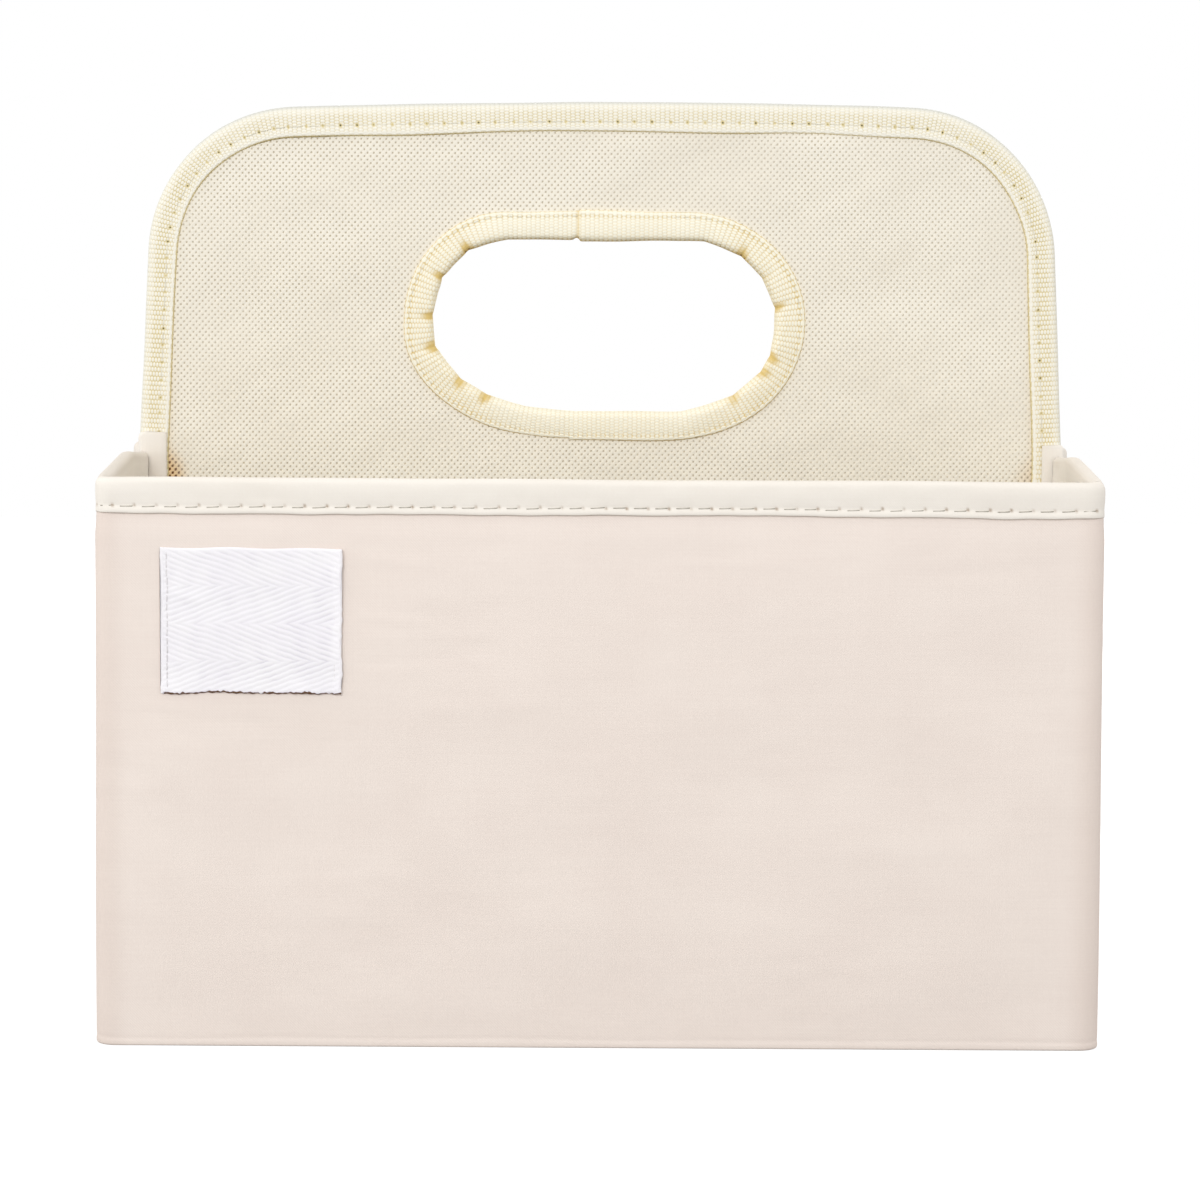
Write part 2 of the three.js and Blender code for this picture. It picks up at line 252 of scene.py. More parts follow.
def skin(name, rings, places, material, shade=0, loop=False):
    """A closed skin through rings, each a closed section. A loop joins its last ring to its first, and other
    skins are capped. places has one more column than rings, and one more row where it is a loop."""
    count, around = rings.shape[:2]
    points = rings.reshape(-1, 3)
    here = np.arange(count * around).reshape(count, around)
    there = np.roll(here, -1, 0)
    rows = count if loop else count - 1
    quads = np.stack([here, np.roll(here, -1, 1), np.roll(there, -1, 1), there], -1)[:rows].reshape(-1, 4)
    flat = np.stack([places[:-1, :-1], places[:-1, 1:], places[1:, 1:], places[1:, :-1]], 2).reshape(-1, 4, 2)
    corners = points[quads]
    normals = np.cross(corners[:, 2] - corners[:, 0], corners[:, 3] - corners[:, 1])
    volume = (corners.mean(1) * normals).sum()
    caps, cap_places = [], []
    if not loop:
        caps = [here[:1, ::-1], here[-1:]]
        cap_places = [places[0, :-1][::-1], places[-1, :-1]]
    for cap in caps:
        outline = points[cap[0]]
        volume += (outline.mean(0) * np.cross(outline, np.roll(outline, -1, 0)).sum(0)).sum()
    if volume < 0:
        quads, flat = quads[:, ::-1], flat[:, ::-1]
        caps = [cap[:, ::-1] for cap in caps]
        cap_places = [spots[::-1] for spots in cap_places]
    shade = np.broadcast_to(shade, (count, around))
    return make(name, points, [quads, *caps], [flat.reshape(-1, 2), *cap_places], shade, material)


def places_for(along, across, loop=False):
    """The places of a grid's corners on the flat cloth, from the distances along and across it."""
    if loop:
        along = np.append(along, along[-1] + (along[1] - along[0]))
    across = np.append(across, across[-1] + CLOTH)
    return np.stack(np.broadcast_arrays(along[:, None], across[None, :]), -1)


def closed_behind(face, axis, level):
    """Rings of a cloth from the points of its seen face, each closed by two points behind its ends."""
    back = face[:, [-1, 0]]
    back[..., axis] = level
    return np.concatenate([face, back], 1)


def places_closed(flat, past):
    """The places of such rings' corners on the flat cloth, which runs on past its edge behind."""
    return np.concatenate([flat, flat[:, [-1, 0, 0]] + (0, past)], 1)


# A stitch: shares of its length, and its shares of the lift between its sunk ends.
STITCH_SHARES = np.array([0, 0.04, 0.12, 0.3, 0.5, 0.7, 0.88, 0.96, 1])
STITCH_LIFT_SHARES = np.array([0.8, 1, 1.15, 1, 0.8])
STITCH_DIP = 0.1
STITCH_FLATNESS = 0.8


def stitched(name, starts, ends, outs, material, slot, radius, lift, sink=0.42):
    """A row of stitches: threads that rise out of the cloth, lie on it and go in again."""
    rise = np.concatenate([[-sink, -STITCH_DIP], lift * STITCH_LIFT_SHARES, [-STITCH_DIP, -sink]])
    along = ends - starts
    length = np.linalg.norm(along, axis=1)
    side = np.cross(along / length[:, None], outs)
    side /= np.linalg.norm(side, axis=1)[:, None]
    spots = starts[:, None] + along[:, None] * STITCH_SHARES[:, None] + outs[:, None] * rise[:, None]
    angles = np.arange(6) * np.pi / 3
    ring = side[:, None] * np.cos(angles)[:, None] + outs[:, None] * np.sin(angles)[:, None] * STITCH_FLATNESS
    points = spots[:, :, None] + ring[:, None] * radius
    index = np.arange(points.size // 3).reshape(points.shape[:3])
    one, two = index[:, :-1], index[:, 1:]
    quads = np.stack([one, two, np.roll(two, -1, 2), np.roll(one, -1, 2)], -1).reshape(-1, 4)
    caps = np.concatenate([index[:, 0], index[:, -1, ::-1]])
    far = STITCH_SHARES[:, None] * length[:, None, None]
    places = np.stack(np.broadcast_arrays(far, angles * radius), -1).reshape(-1, 2)
    # Painted shade at both ends, where the thread goes into the cloth.
    shade = np.broadcast_to(1 - bell(STITCH_SHARES - 0.5, 0.42)[:, None], index.shape)
    obj = make(name, points.reshape(-1, 3), [quads, caps], [places[quads.ravel()], places[caps.ravel()]],
               shade, material)
    return dressed(obj, [])


# Materials
def tint(red, green, blue):
    """A colour as a screen shows it, 0 to 255, as the renderer counts it."""
    parts = [c / 255 for c in (red, green, blue)]
    return tuple(c / 12.92 if c <= 0.04045 else ((c + 0.055) / 1.055) ** 2.4 for c in parts) + (1,)


SPECULAR = 0.12  # cloth and card hardly shine


def add_node(tree, kind, values=(), out=0, **settings):
    """Adds a node, its inputs set to values or linked to outputs, and returns one of its own outputs."""
    node = tree.nodes.new("ShaderNode" + kind)
    for key, value in settings.items():
        setattr(node, key, value)
    for key, value in values.items() if isinstance(values, dict) else enumerate(values):
        if isinstance(value, bpy.types.NodeSocket):
            tree.links.new(value, node.inputs[key])
        else:
            node.inputs[key].default_value = value
    return node.outputs[out]


class Look:
    """Builds the nodes of one material. Patterns are drawn in mm on the flat cloth."""

    def __init__(self, name, roughness=0.9):
        self.material = bpy.data.materials.new(name)
        self.material.use_nodes = True
        self.tree = self.material.node_tree
        self.surface = self.tree.nodes["Principled BSDF"]
        self.surface.inputs["Roughness"].default_value = roughness
        self.surface.inputs["Specular IOR Level"].default_value = SPECULAR
        place = self.add("UVMap", uv_map="cloth")
        self.u = self.add("SeparateXYZ", [place])
        self.v = self.add("SeparateXYZ", [place], 1)
        self.shade = self.add("Attribute", out=2, attribute_name="shade", attribute_type="GEOMETRY")

    def add(self, *node, **settings):
        return add_node(self.tree, *node, **settings)

    def math(self, kind, *values):
        return self.add("Math", values, operation=kind)

    def times(self, first, second):
        return self.math("MULTIPLY", first, second)

    def sine(self, value, length, shift=0.0):
        """A wave of a length in mm."""
        return self.math("SINE", self.math("MULTIPLY_ADD", value, 2 * math.pi / length, shift))

    def step(self, value, start, end, low=0.0, high=1.0):
        return self.add("MapRange", [value, start, end, low, high], interpolation_type="SMOOTHSTEP")

    def noise(self, along, across, detail=2.0, shift=0.0):
        """Even noise, drawn out along and across the cloth to lengths in mm."""
        where = self.add("CombineXYZ", [self.times(self.u, 1 / along), self.times(self.v, 1 / across), shift])
        return self.add("TexNoise", {"Vector": where, "Scale": 1.0, "Detail": detail, "Roughness": 0.55})

    def mix(self, share, first, second):
        return self.add("Mix", {0: share, 6: first, 7: second}, 2, data_type="RGBA")

    def total(self, *parts):
        """The sum of (value, weight) pairs."""
        result = 0.0
        for value, weight in parts:
            result = self.math("MULTIPLY_ADD", value, weight, result)
        return result

    def finish(self, colour, height, depth):
        """depth is how many mm high a height of 1 stands."""
        bump = self.add("Bump", {"Strength": 1.0, "Distance": depth * MM, "Height": height})
        self.tree.links.new(colour, self.surface.inputs["Base Color"])
        self.tree.links.new(bump, self.surface.inputs["Normal"])
        return self.material


def plain_weave(name, light, dark, deep, thread, slub, relief):
    """Fine plain-woven cloth with slubs along and across it, darker where the geometry lies in shade."""
    look = Look(name)
    over = look.times(look.sine(look.u, 2 * thread), look.sine(look.v, 2 * thread))
    along = look.noise(34, 0.55, 3)
    across = look.noise(0.5, 22, 2, 4.7)
    cloudy = look.noise(30, 26, 3, 9.1)
    speck = look.noise(0.7, 0.7, 2, 2.2)
    tone = look.total((along, slub), (across, slub * 0.55), (cloudy, 0.8), (speck, 0.35))
    middle = 0.5 * (slub * 1.55 + 1.15)
    colour = look.mix(look.step(tone, middle - 0.34, middle + 0.34), dark, light)
    colour = look.mix(look.shade, colour, deep)
    height = look.total((over, 0.3), (along, slub), (across, slub * 0.7), (speck, 0.5))
    return look.finish(colour, height, relief)


# The pits of the bonded cloth: between two of one row, and between every second row, in mm.
PIT_PITCH = 2.0
PIT_ROWS = 2.215
CONTRAST_REACH = 150


def nonwoven(name, light, dark, pit, shaded_ground, deep, depth, contrast):
    """Bonded fibre with small pits in staggered rows. Where the mesh's shade paints shade, the ground takes
    the shaded ground's colour and the pits the deep one. The contrast is the pits' share of their colour on
    the cloth's left and right."""
    look = Look(name)
    quarter = math.pi / 2
    lattice = look.times(look.sine(look.u, PIT_PITCH, quarter), look.sine(look.v, PIT_ROWS, quarter))
    slant = look.sine(look.math("MULTIPLY_ADD", look.v, -PIT_PITCH / PIT_ROWS, look.u), PIT_PITCH, quarter)
    sunk = look.total((lattice, 1.0), (slant, 0.22), (look.noise(1.1, 1.1, 2, 5.5), 0.5), (look.shade, 0.45))
    pits = look.step(sunk, 0.7, 1.45)
    fibre = look.noise(0.45, 0.45, 3, 1.3)
    cloudy = look.noise(26, 22, 3, 7.7)
    colour = look.mix(look.step(look.total((fibre, 0.35), (cloudy, 0.65)), 0.3, 0.7), dark, light)
    # Painted shade: warm in the ground, and larger, darker pits where the mesh's shade says.
    colour = look.mix(look.times(look.shade, 0.8), colour, shaded_ground)
    pressed = look.mix(look.shade, pit, deep)
    strength = look.step(cloudy, 0.25, 0.7, 0.65, 1.05)
    strength = look.times(strength, look.step(look.u, -CONTRAST_REACH, CONTRAST_REACH, *contrast))
    colour = look.mix(look.times(pits, look.math("MAXIMUM", strength, look.shade)), colour, pressed)
    height = look.total((pits, -1.0), (slant, -0.2), (fibre, 0.22))
    return look.finish(colour, height, depth)


# Between two ribs of the woven tapes, and between two nubs of a rib, in mm.
RIB = 1.51
NUB = 0.97
THREAD_PITCH = 0.62  # of the patch's fine threads


def ribbed_tape(name, light, gold, dark, fold, bands, paler):
    """Woven tape: nubs in a row along each rib, half a nub on from rib to rib. The gold between the ribs is
    painted shade, and the bands say how much: an amount at the fold, then (start, end, change) going away
    from the fold, in mm. The fold's colour is painted shade on the fold. Paler is an axis of the object, two
    distances along it, and the shares of the gold and of the fold's colour there."""
    look = Look(name, 0.85)
    rib = look.math("FLOOR", look.times(look.u, 1 / RIB))
    nubs = look.sine(look.math("MULTIPLY_ADD", rib, NUB / 2, look.v), NUB)
    valley = look.math("ABSOLUTE", look.sine(look.u, 2 * RIB))
    between = look.step(valley, 0.2, 0.85, 1.0, 0.0)
    gaps = look.step(nubs, -1.0, 0.3, 1.0, 0.0)
    away = look.math("ABSOLUTE", look.v)
    amount = look.math("ADD", bands[0], 0.0)
    for start, end, change in bands[1:]:
        amount = look.math("ADD", look.step(away, start, end, 0.0, change), amount)
    axis, start, end, gold_shares, fold_shares = paler
    spot = look.math("ABSOLUTE", look.add("SeparateXYZ", [look.add("TexCoord", out=3)], axis))
    amount = look.times(amount, look.step(spot, start * MM, end * MM, *gold_shares))
    folded = look.step(spot, start * MM, end * MM, *fold_shares)
    fine = look.noise(0.3, 0.5, 2, 3.1)
    cloudy = look.noise(11, 7, 2, 6.3)
    pattern = look.total((between, 0.5), (gaps, 0.6), (cloudy, 0.4), (fine, 0.2))
    # The gold between the ribs and nubs is painted shade.
    golden = look.times(look.step(pattern, 0.4, 1.35), amount)
    colour = look.mix(golden, light, gold)
    # Painted shade: the fold's colour on the fold, then gold and dark where the mesh's shade says.
    colour = look.mix(look.times(look.step(away, 1.2, 4.4, 1.0, 0.0), folded), colour, fold)
    colour = look.mix(look.step(look.shade, 0.0, 0.45), colour, gold)
    colour = look.mix(look.step(look.shade, 0.48, 0.8), colour, dark)
    height = look.total((nubs, 0.45), (fine, 0.4), (valley, 0.5))
    return look.finish(colour, height, 0.08)


def twill(name, light, dark, deep, brown_edge_and_shadow):
    """White cotton, its ribs in the mesh, its fine threads here. Shade up to 0.75 is painted shade in the
    valleys; shade above 0.8 is the brown cut edge with the painted shadow under it.
    """
    look = Look(name)
    over = look.times(look.sine(look.u, THREAD_PITCH), look.sine(look.v, THREAD_PITCH))
    fine, cloudy = look.noise(0.6, 0.4, 3, 1.9), look.noise(12, 12, 2, 8.8)
    colour = look.mix(look.step(look.total((fine, 0.5), (cloudy, 0.5)), 0.3, 0.7), dark, light)
    # Painted shade in the valleys, then the brown cut edge with its painted shadow.
    colour = look.mix(look.step(look.shade, 0.0, 0.75), colour, deep)
    colour = look.mix(look.step(look.shade, 0.78, 0.95), colour, brown_edge_and_shadow)
    return look.finish(colour, look.total((over, 0.5), (fine, 1.0)), 0.07)


def thread(name, light, dark):
    """Twisted sewing thread, with shade painted where it goes into the cloth."""
    look = Look(name, 0.8)
    turns = look.sine(look.math("MULTIPLY_ADD", look.v, 1.6, look.u), 0.55)
    colour = look.mix(look.times(look.shade, 0.9), light, dark)
    return look.finish(colour, turns, 0.05)


def board(name, light, dark):
    """Grey-brown card with flecks and pressed layers, drawn in the object's own space."""
    look = Look(name, 0.92)
    where = look.add("TexCoord", out=3)
    flecks = look.add("TexNoise", {"Vector": where, "Scale": 900.0, "Detail": 3.0})
    clouds = look.add("TexNoise", {"Vector": where, "Scale": 55.0, "Detail": 4.0})
    tone = look.total((flecks, 0.55), (clouds, 0.45))
    colour = look.mix(look.step(tone, 0.38, 0.62), dark, light)
    return look.finish(colour, tone, 0.12)


COVER = plain_weave(
    "cover_cloth", tint(246, 234, 225), tint(241, 228, 219), tint(200, 176, 162), 0.42, 0.45, 0.03)
BINDING = plain_weave(
    "binding_cloth", tint(247, 241, 232), tint(243, 236, 226), tint(146, 116, 82), 0.36, 0.35, 0.03)
FACING = nonwoven(
    "facing_nonwoven", tint(248, 242, 228), tint(243, 236, 221), tint(202, 189, 164), tint(226, 188, 130),
    tint(98, 52, 10), 0.12, (1.15, 0.85))
LINING = nonwoven(
    "lining_nonwoven", tint(247, 242, 232), tint(242, 236, 225), tint(220, 208, 188), tint(224, 204, 174),
    tint(196, 166, 124), 0.16, (1.0, 1.0))
EDGE_TAPE = ribbed_tape(
    "edge_woven_tape", tint(253, 249, 236), tint(226, 209, 156), tint(70, 68, 58), tint(222, 221, 212),
    [0.5, (4.4, 5.6, 0.5), (8.0, 8.7, -0.35), (10.2, 10.7, -0.65), (11.1, 11.5, 0.9)],
    (2, 258, 282, (1.25, 0.78), (0.5, 1.0)))
HOLE_TAPE = ribbed_tape(
    "hole_woven_tape", tint(255, 251, 234), tint(226, 198, 128), tint(150, 118, 66), tint(246, 236, 206),
    [0.9, (1.6, 3.0, -0.25), (8.6, 9.2, 0.25), (10.3, 10.8, -0.7), (11.0, 11.3, 0.8)],
    (0, 30, 46, (0.55, 1.05), (0.3, 0.5)))
PATCH = twill(
    "patch_twill", tint(255, 253, 255), tint(251, 248, 253), tint(217, 212, 223), tint(112, 84, 64))
THREAD = thread("sewing_thread", tint(253, 250, 251), tint(226, 222, 224))
HEM_THREAD = thread("hem_thread", tint(214, 208, 196), tint(138, 130, 110))
TAPE_THREAD = thread("tape_thread", tint(250, 245, 228), tint(226, 212, 176))
CARD = board("card", tint(190, 164, 126), tint(160, 134, 98))


# The walls
def drawn_in(y):
    """How far a side wall is drawn in towards the handle panel's seam."""
    return np.where(np.abs(y) < SEAM_HALF, SEAM_DRAW_IN * np.cos(np.pi * y / (2 * SEAM_HALF)) ** 2, 0)


def front_line():
    """The front wall's outer face from above, with both corners."""
    end_y = SEAM_GAP - CORNER_Y
    left = arc((-CORNER_X, -CORNER_Y), CORNER, 180, 270)
    right = arc((CORNER_X, -CORNER_Y), CORNER, 270, 360)
    return np.vstack([[[-COVER_X, end_y]], left, right, [[COVER_X, end_y]]])


def side_line():
    """The right wall's outer face from above, its front half, drawn in towards the handle panel."""
    y = np.linspace(2 * SEAM_GAP - CORNER_Y, SEAM_PAST - SEAM_END, 60)
    return np.stack([COVER_X - drawn_in(y), y], 1)


SIDE = side_line()
WALLS = {
    "front": front_line(),
    "right_front": SIDE,
    "right_rear": (SIDE * (1, -1))[::-1],
    "back": -front_line(),
    "left_rear": -SIDE,
    "left_front": (SIDE * (-1, 1))[::-1],
}
SEEDS = {name: 100 * (i + 1) for i, name in enumerate(WALLS)}


def wall_ends(line):
    """How far each station is from its wall's nearer end, and whether it lies beside the panel's seam."""
    return np.minimum(line.s, line.length - line.s)[:, None], np.abs(line.points[:, 1:]) < SEAM_HALF


def wall_piece(name, kind, line, depth, height, across, look, shade):
    """A wall's cover, lining or binding, from how far behind the wall's face and how high its points are."""
    plan = line.points[:, None] - line.out[:, None] * depth[..., None]
    rings = np.concatenate([plan, np.broadcast_to(height, depth.shape)[..., None]], -1)
    places = places_for(line.s, across)
    return dressed(skin(f"{name}_{kind}_cloth", rings, places, look, np.clip(shade, 0, 1)),
                   [f"{name}_{kind}"])


# Faint creases in the front cover: (x, z) of both ends, height and half width.
CREASES = [
    (-134, 141, -120, 137, 0.16, 1.6), (-141, 133, -134, 121, -0.14, 1.5), (-74, 151, -48, 148, 0.12, 1.4),
    (-75, 133, -52, 131, 0.16, 1.3), (-76, 118, -42, 120.5, -0.14, 1.5), (-74, 126, -30, 127.5, 0.12, 1.8),
    (-140, 106, -122, 104, 0.14, 1.6), (-126, 101, -96, 99.5, -0.12, 1.7), (-60, 104, -12, 106, 0.1, 2.2),
    (20, 150, 62, 148.5, 0.1, 2.0), (92, 146, 139, 149, -0.12, 2.2), (60, 60, 118, 63, 0.1, 3.0),
]


def crease(x, z, stroke):
    """A ridge or a valley along one stroke, fading at its ends."""
    x0, z0, x1, z1, height, width = stroke
    way = np.array([x1 - x0, z1 - z0])
    length = np.hypot(*way)
    way = way / length
    t = ((x - x0) * way[0] + (z - z0) * way[1]) / length
    off = (z - z0) * way[0] - (x - x0) * way[1]
    return height * bell(off, width) * smooth(t, -0.12, 0.25) * smooth(t, 1.12, 0.75)


# The cover stands out from its card: by so much above and so much more below, between two levels.
BELLY = 0.45
BELLY_BELOW = 0.9
BELLY_LEVELS = (150, 12)
COVER_WAVES = [(0.4, 130, 1), (0.14, 42, 1.8)]
HEM_LEVEL = 1.3
HEM_LINE = 2.7
# The cover turns under the base, and its edges roll in at a corner or at the handle's seam.
UNDER_REACH = 3.4
FINE_ROWS = 6
CORNER_ROLL = 0.75
SEAM_ROLL = 0.2
ROLL_WIDTH = 1.1
# The strip beside the front's and the back's corners where shade is painted, as the wall begins to turn round
# them, from x to x.
CORNER_STRIP = (142, 151)


def cover_relief(name, s, x, z, length):
    """How far the cover stands out from its card. Towards the base the walls belly out a little."""
    seed = SEEDS[name]
    belly = (BELLY + BELLY_BELOW * smooth(z, *BELLY_LEVELS)) * smooth(z, CLOTH_TOP - 7, CLOTH_TOP - 15)
    broad = waves(s, z, seed, COVER_WAVES)
    fine = 0.03 * uneven(s, z, 9, seed + 2, 2.5) * (0.6 + 0.4 * uneven(s, z, 60, seed + 3))
    inside = smooth(z, 2.2, 16) * smooth(z, CLOTH_TOP - 9, CLOTH_TOP - 22)
    inside = inside * smooth(np.minimum(s, length - s), 6, 24)
    hem = 0.09 * bell(z - HEM_LEVEL, 0.8) - 0.08 * bell(z - HEM_LINE - 0.4 * waver(s, 55, seed + 4), 0.7)
    result = belly + broad * inside + fine * smooth(z, 0, FINE_ROWS) + hem
    if name == "front":
        result = result + sum(crease(x, z, stroke) for stroke in CREASES)
    return result


def front_face(x, z):
    """How far in front of the caddy's middle the front cover's face lies."""
    s = x + CORNER_X + CORNER * math.pi / 2 + SEAM_GAP
    length = 2 * (CORNER_X + CORNER * math.pi / 2 + SEAM_GAP)
    return COVER_Y + cover_relief("front", s, x, z, length)


def cover_section():
    """A cover's section as (depth, height): its face down and round under the base, then its inner side."""
    level = np.concatenate([np.arange(CLOTH_TOP, FINE_ROWS, -1.3), np.arange(FINE_ROWS, CLOTH, -0.4)])
    angle = np.radians(np.arange(0, 91, 15))
    under = np.stack([CLOTH - CLOTH * np.cos(angle), CLOTH - CLOTH * np.sin(angle)], 1)
    outer = np.vstack([np.stack([np.zeros_like(level), level], 1), under, [[UNDER_REACH, 0.0]]])
    inner = np.array([[UNDER_REACH, CLOTH], [CLOTH, CLOTH], [CLOTH, 60.0], [CLOTH, CLOTH_TOP]])
    return outer, inner


def cover(name):
    """One wall's outer cloth, which turns under at the base, and rolls in where it meets its neighbours."""
    line = Line(WALLS[name], 1.0, reach=2)
    outer, inner = cover_section()
    section = np.vstack([outer, inner])
    depth, height = section.T
    x = line.points[:, :1]
    relief = cover_relief(name, line.s[:, None], x, height, line.length)
    shown = np.arange(len(section)) < len(outer)
    depth = depth - np.where(shown & (depth < UNDER_REACH), relief, 0)
    end, at_seam = wall_ends(line)
    roll = np.where(at_seam, SEAM_ROLL, CORNER_ROLL) * edge_roll(end, ROLL_WIDTH)
    depth = depth + np.where(shown, roll, roll * 0.3)
    # Painted shade where the ends roll in, less at the handle's seam, and in the strip beside the corners.
    shade = shown * np.where(at_seam, 0.1, 0.35) * smooth(end, 0.9, 0.1)
    if "_" not in name:
        shade = np.maximum(shade, 0.2 * shown * smooth(np.abs(x), *CORNER_STRIP))
    across = np.concatenate([outer[:, 1], -np.arange(len(inner)) * 30.0])
    return wall_piece(name, "cover", line, depth, height, across, COVER, shade)


LINING_WAVES = [(0.25, 70, 1), (0.1, 22, 1)]
LINING_LIMITS = (-0.12, 0.45)


def lining(name):
    """One wall's inner cloth."""
    line = Line(WALLS[name], 1.6, reach=2)
    level = np.append(np.arange(CLOTH_TOP, LINING_LOW, -2.4), LINING_LOW)
    height = np.concatenate([level, [LINING_LOW, CLOTH_TOP]])
    shown = np.arange(len(height)) < len(level)
    end, at_seam = wall_ends(line)
    at_corner = np.where(at_seam, FAR, end)
    soft = np.clip(waves(line.s[:, None], height, SEEDS[name] + 50, LINING_WAVES) + 0.1, *LINING_LIMITS)
    soft = soft * smooth(height, CLOTH_TOP - 6, CLOTH_TOP - 20) * smooth(height, LINING_LOW, 20)
    soft = soft * smooth(end, 0, 16)
    depth = np.where(shown, WALL + (soft - 0.5 * edge_roll(at_corner, 1)), WALL - CLOTH)
    # Painted shade in the corners and towards the bottom.
    shade = shown * (0.55 * smooth(at_corner, 2.6, 0.2) + 0.3 * smooth(height, 14, 2))
    across = np.concatenate([level, [LINING_LOW - 2, LINING_LOW - 170]])
    return wall_piece(name, "lining", line, depth, height, across, LINING, shade)


# The folded binding's outer leg: (height above its lower edge, distance out from the middle of the wall).
BINDING_WIDTH = 10.8
BINDING_HALF = 2.5
STRAIGHT = BINDING_WIDTH - BINDING_HALF
LEG = np.array([
    (0.3, 1.98), (0.0, 2.2), (0.05, 2.46), (0.3, 2.68), (0.9, 2.74), (1.5, 2.62), (2.0, 2.42), (2.4, 2.24),
    (2.8, 2.3), (3.4, 2.38), (4.4, 2.44), (5.6, 2.52), (7.0, 2.6), (STRAIGHT, BINDING_HALF)])
# Its inner side above the wall.
INNER_SIDE = np.array([(0, -1.9), (1.6, -1.3), (1.9, 0), (1.6, 1.3), (0, 1.9)]) + (STRAIGHT, 0)
BINDING_WAVES = [(0.08, 14, 1.6), (0.12, 46, 2.0)]
STITCH_LEVEL = 2.4
HEM_STITCH = 6.45
HEM_RISE = 0.6  # how far the soft fold stands above the CAD's rim
HEM_SWAY_FADE = (4.5, 1.5)  # its lower edges waver, and above them less and less


def binding_section():
    """The binding's section from one lower edge over the rim to the other, then its inner side."""
    angle = np.radians(np.linspace(0, 180, 13)[1:-1])
    way = np.stack([np.sin(angle), np.cos(angle)], 1)
    fold = np.sign(way) * np.abs(way) ** 0.8 * BINDING_HALF + (STRAIGHT, 0)
    return np.vstack([LEG, fold, LEG[::-1] * (1, -1), INNER_SIDE])


def hem_holes(line, seed):
    """Where the hem's stitches go in, and how much each draws the cloth in."""
    draw = np.random.default_rng(seed)
    holes = np.arange(2.2, line.length - 1.2, HEM_STITCH)
    holes = holes + draw.uniform(-0.35, 0.35, len(holes))
    return holes, draw.choice([0.45, 0.7, 1.0], len(holes))


def hem_top(name, y):
    """The level of a wall's rim. A side wall's rises towards the panel's seam, where it drops a little."""
    y = np.abs(y)
    rise = SEAM_RISE * (CORNER_Y - y) / CORNER_Y - SEAM_DROP * smooth(y, SEAM_HALF, SEAM_END)
    return RIM + HEM_RISE + ("_" in name) * rise


def binding_threads(name, line, holes, drift):
    """The stitches on both sides of a wall's hem, each rising a little towards its end."""
    count = len(holes) - 1
    ends = np.concatenate([holes[:-1] + 0.3 * HEM_STITCH, holes[1:] - 0.3])
    spot, out = line.at(ends)
    below = np.repeat([0.32, 0.12], count)
    threads = []
    for way, leg in (("outer", 1), ("inner", -1)):
        lift = np.interp(ends, line.s, drift[leg]) * smooth(STITCH_LEVEL, *HEM_SWAY_FADE)
        level = hem_top(name, spot[:, 1]) - BINDING_WIDTH + STITCH_LEVEL + lift - below
        places = np.concatenate([spot + out * (leg * 2.3 - WALL_MIDDLE), level[:, None]], 1)
        outs = np.concatenate([out * leg, np.zeros((len(out), 1))], 1)[:count]
        threads.append(stitched(f"{name}_binding_{way}_stitches", places[:count], places[count:], outs,
                                HEM_THREAD, "binding_cloth", 0.17, 0.08))
    return threads


def hem_shape(line, section, shown, near, first_hole, drift, seed):
    """Height and side of the binding's points. It is pressed in along its row of stitches and soft between,
    its lower edges waver, and it is flatter and pinched where two walls' hems meet."""
    up, side = section.T
    sign = np.sign(side)
    end, at_seam = wall_ends(line)
    leg = shown & (up < STRAIGHT - 0.1) & (np.abs(side) > 2.21)
    flat = 0.8 * smooth(end, 9.0, 3.0)
    side = np.where(leg, side * (1 - flat) + sign * BINDING_HALF * flat, side) - sign * shown * 0.45 * flat
    side = side - sign * bell(up - STITCH_LEVEL, 0.5) * shown * 0.16 * near * (1 - flat)
    s = line.s[:, None]
    pillow = waves(s, up, seed + 1, BINDING_WAVES) * smooth(up, 2.6, 5.0) * smooth(up, 10.2, 7.8)
    sag = 0.05 * np.cos(2 * np.pi * (s - first_hole) / HEM_STITCH) * bell(up - 3.6, 1.2)
    side = side + sign * shown * (pillow - sag)
    up = up + np.where(side > 0, drift[1][:, None], drift[-1][:, None]) * smooth(up, *HEM_SWAY_FADE)
    return up, side - sign * shown * 0.1 * edge_roll(np.where(at_seam, FAR, end), 0.9)


def binding(name):
    """Cloth folded over the rim of one wall and sewn along its lower edges."""
    line = Line(WALLS[name], HEM_STITCH / 15, reach=4)
    s, seed = line.s, SEEDS[name] + 20
    holes, weight = hem_holes(line, seed)
    near = (bell(s[:, None] - holes[None], 0.42) * weight[None]).sum(1)[:, None]
    drift = {way: 0.3 * waver(s, 62, seed + 3 + (way < 0)) + 0.09 * waver(s, 15, seed + 5) for way in (1, -1)}
    section = binding_section()
    shown = np.arange(len(section)) < len(section) - len(INNER_SIDE)
    up, side = hem_shape(line, section, shown, near, holes[0], drift, seed)
    low = hem_top(name, line.points[:, 1])[:, None] + 0.14 * waver(s, 80, seed + 6)[:, None] - BINDING_WIDTH
    level = section[:, 0]
    # Painted shade in the stitch holes and under the lower edges, and a little on the fold of a side wall's
    # hem.
    shade = np.clip(0.95 * near * bell(up - STITCH_LEVEL, 0.4), 0, 1) + 0.55 * smooth(level, 0.3, 0.0)
    if "_" in name:
        shade = shade + 0.13 * smooth(level, STRAIGHT - 1, STRAIGHT + 1)
    piece = wall_piece(name, "binding", line, WALL_MIDDLE - side, low + up, distances(section), BINDING,
                       shade * shown)
    binding_threads(name, line, holes, drift)


for wall in WALLS:
    outside, inside_cloth = cover(wall), lining(wall)
    width = Line(WALLS[wall], 1.0).length * MM
    binding(wall)


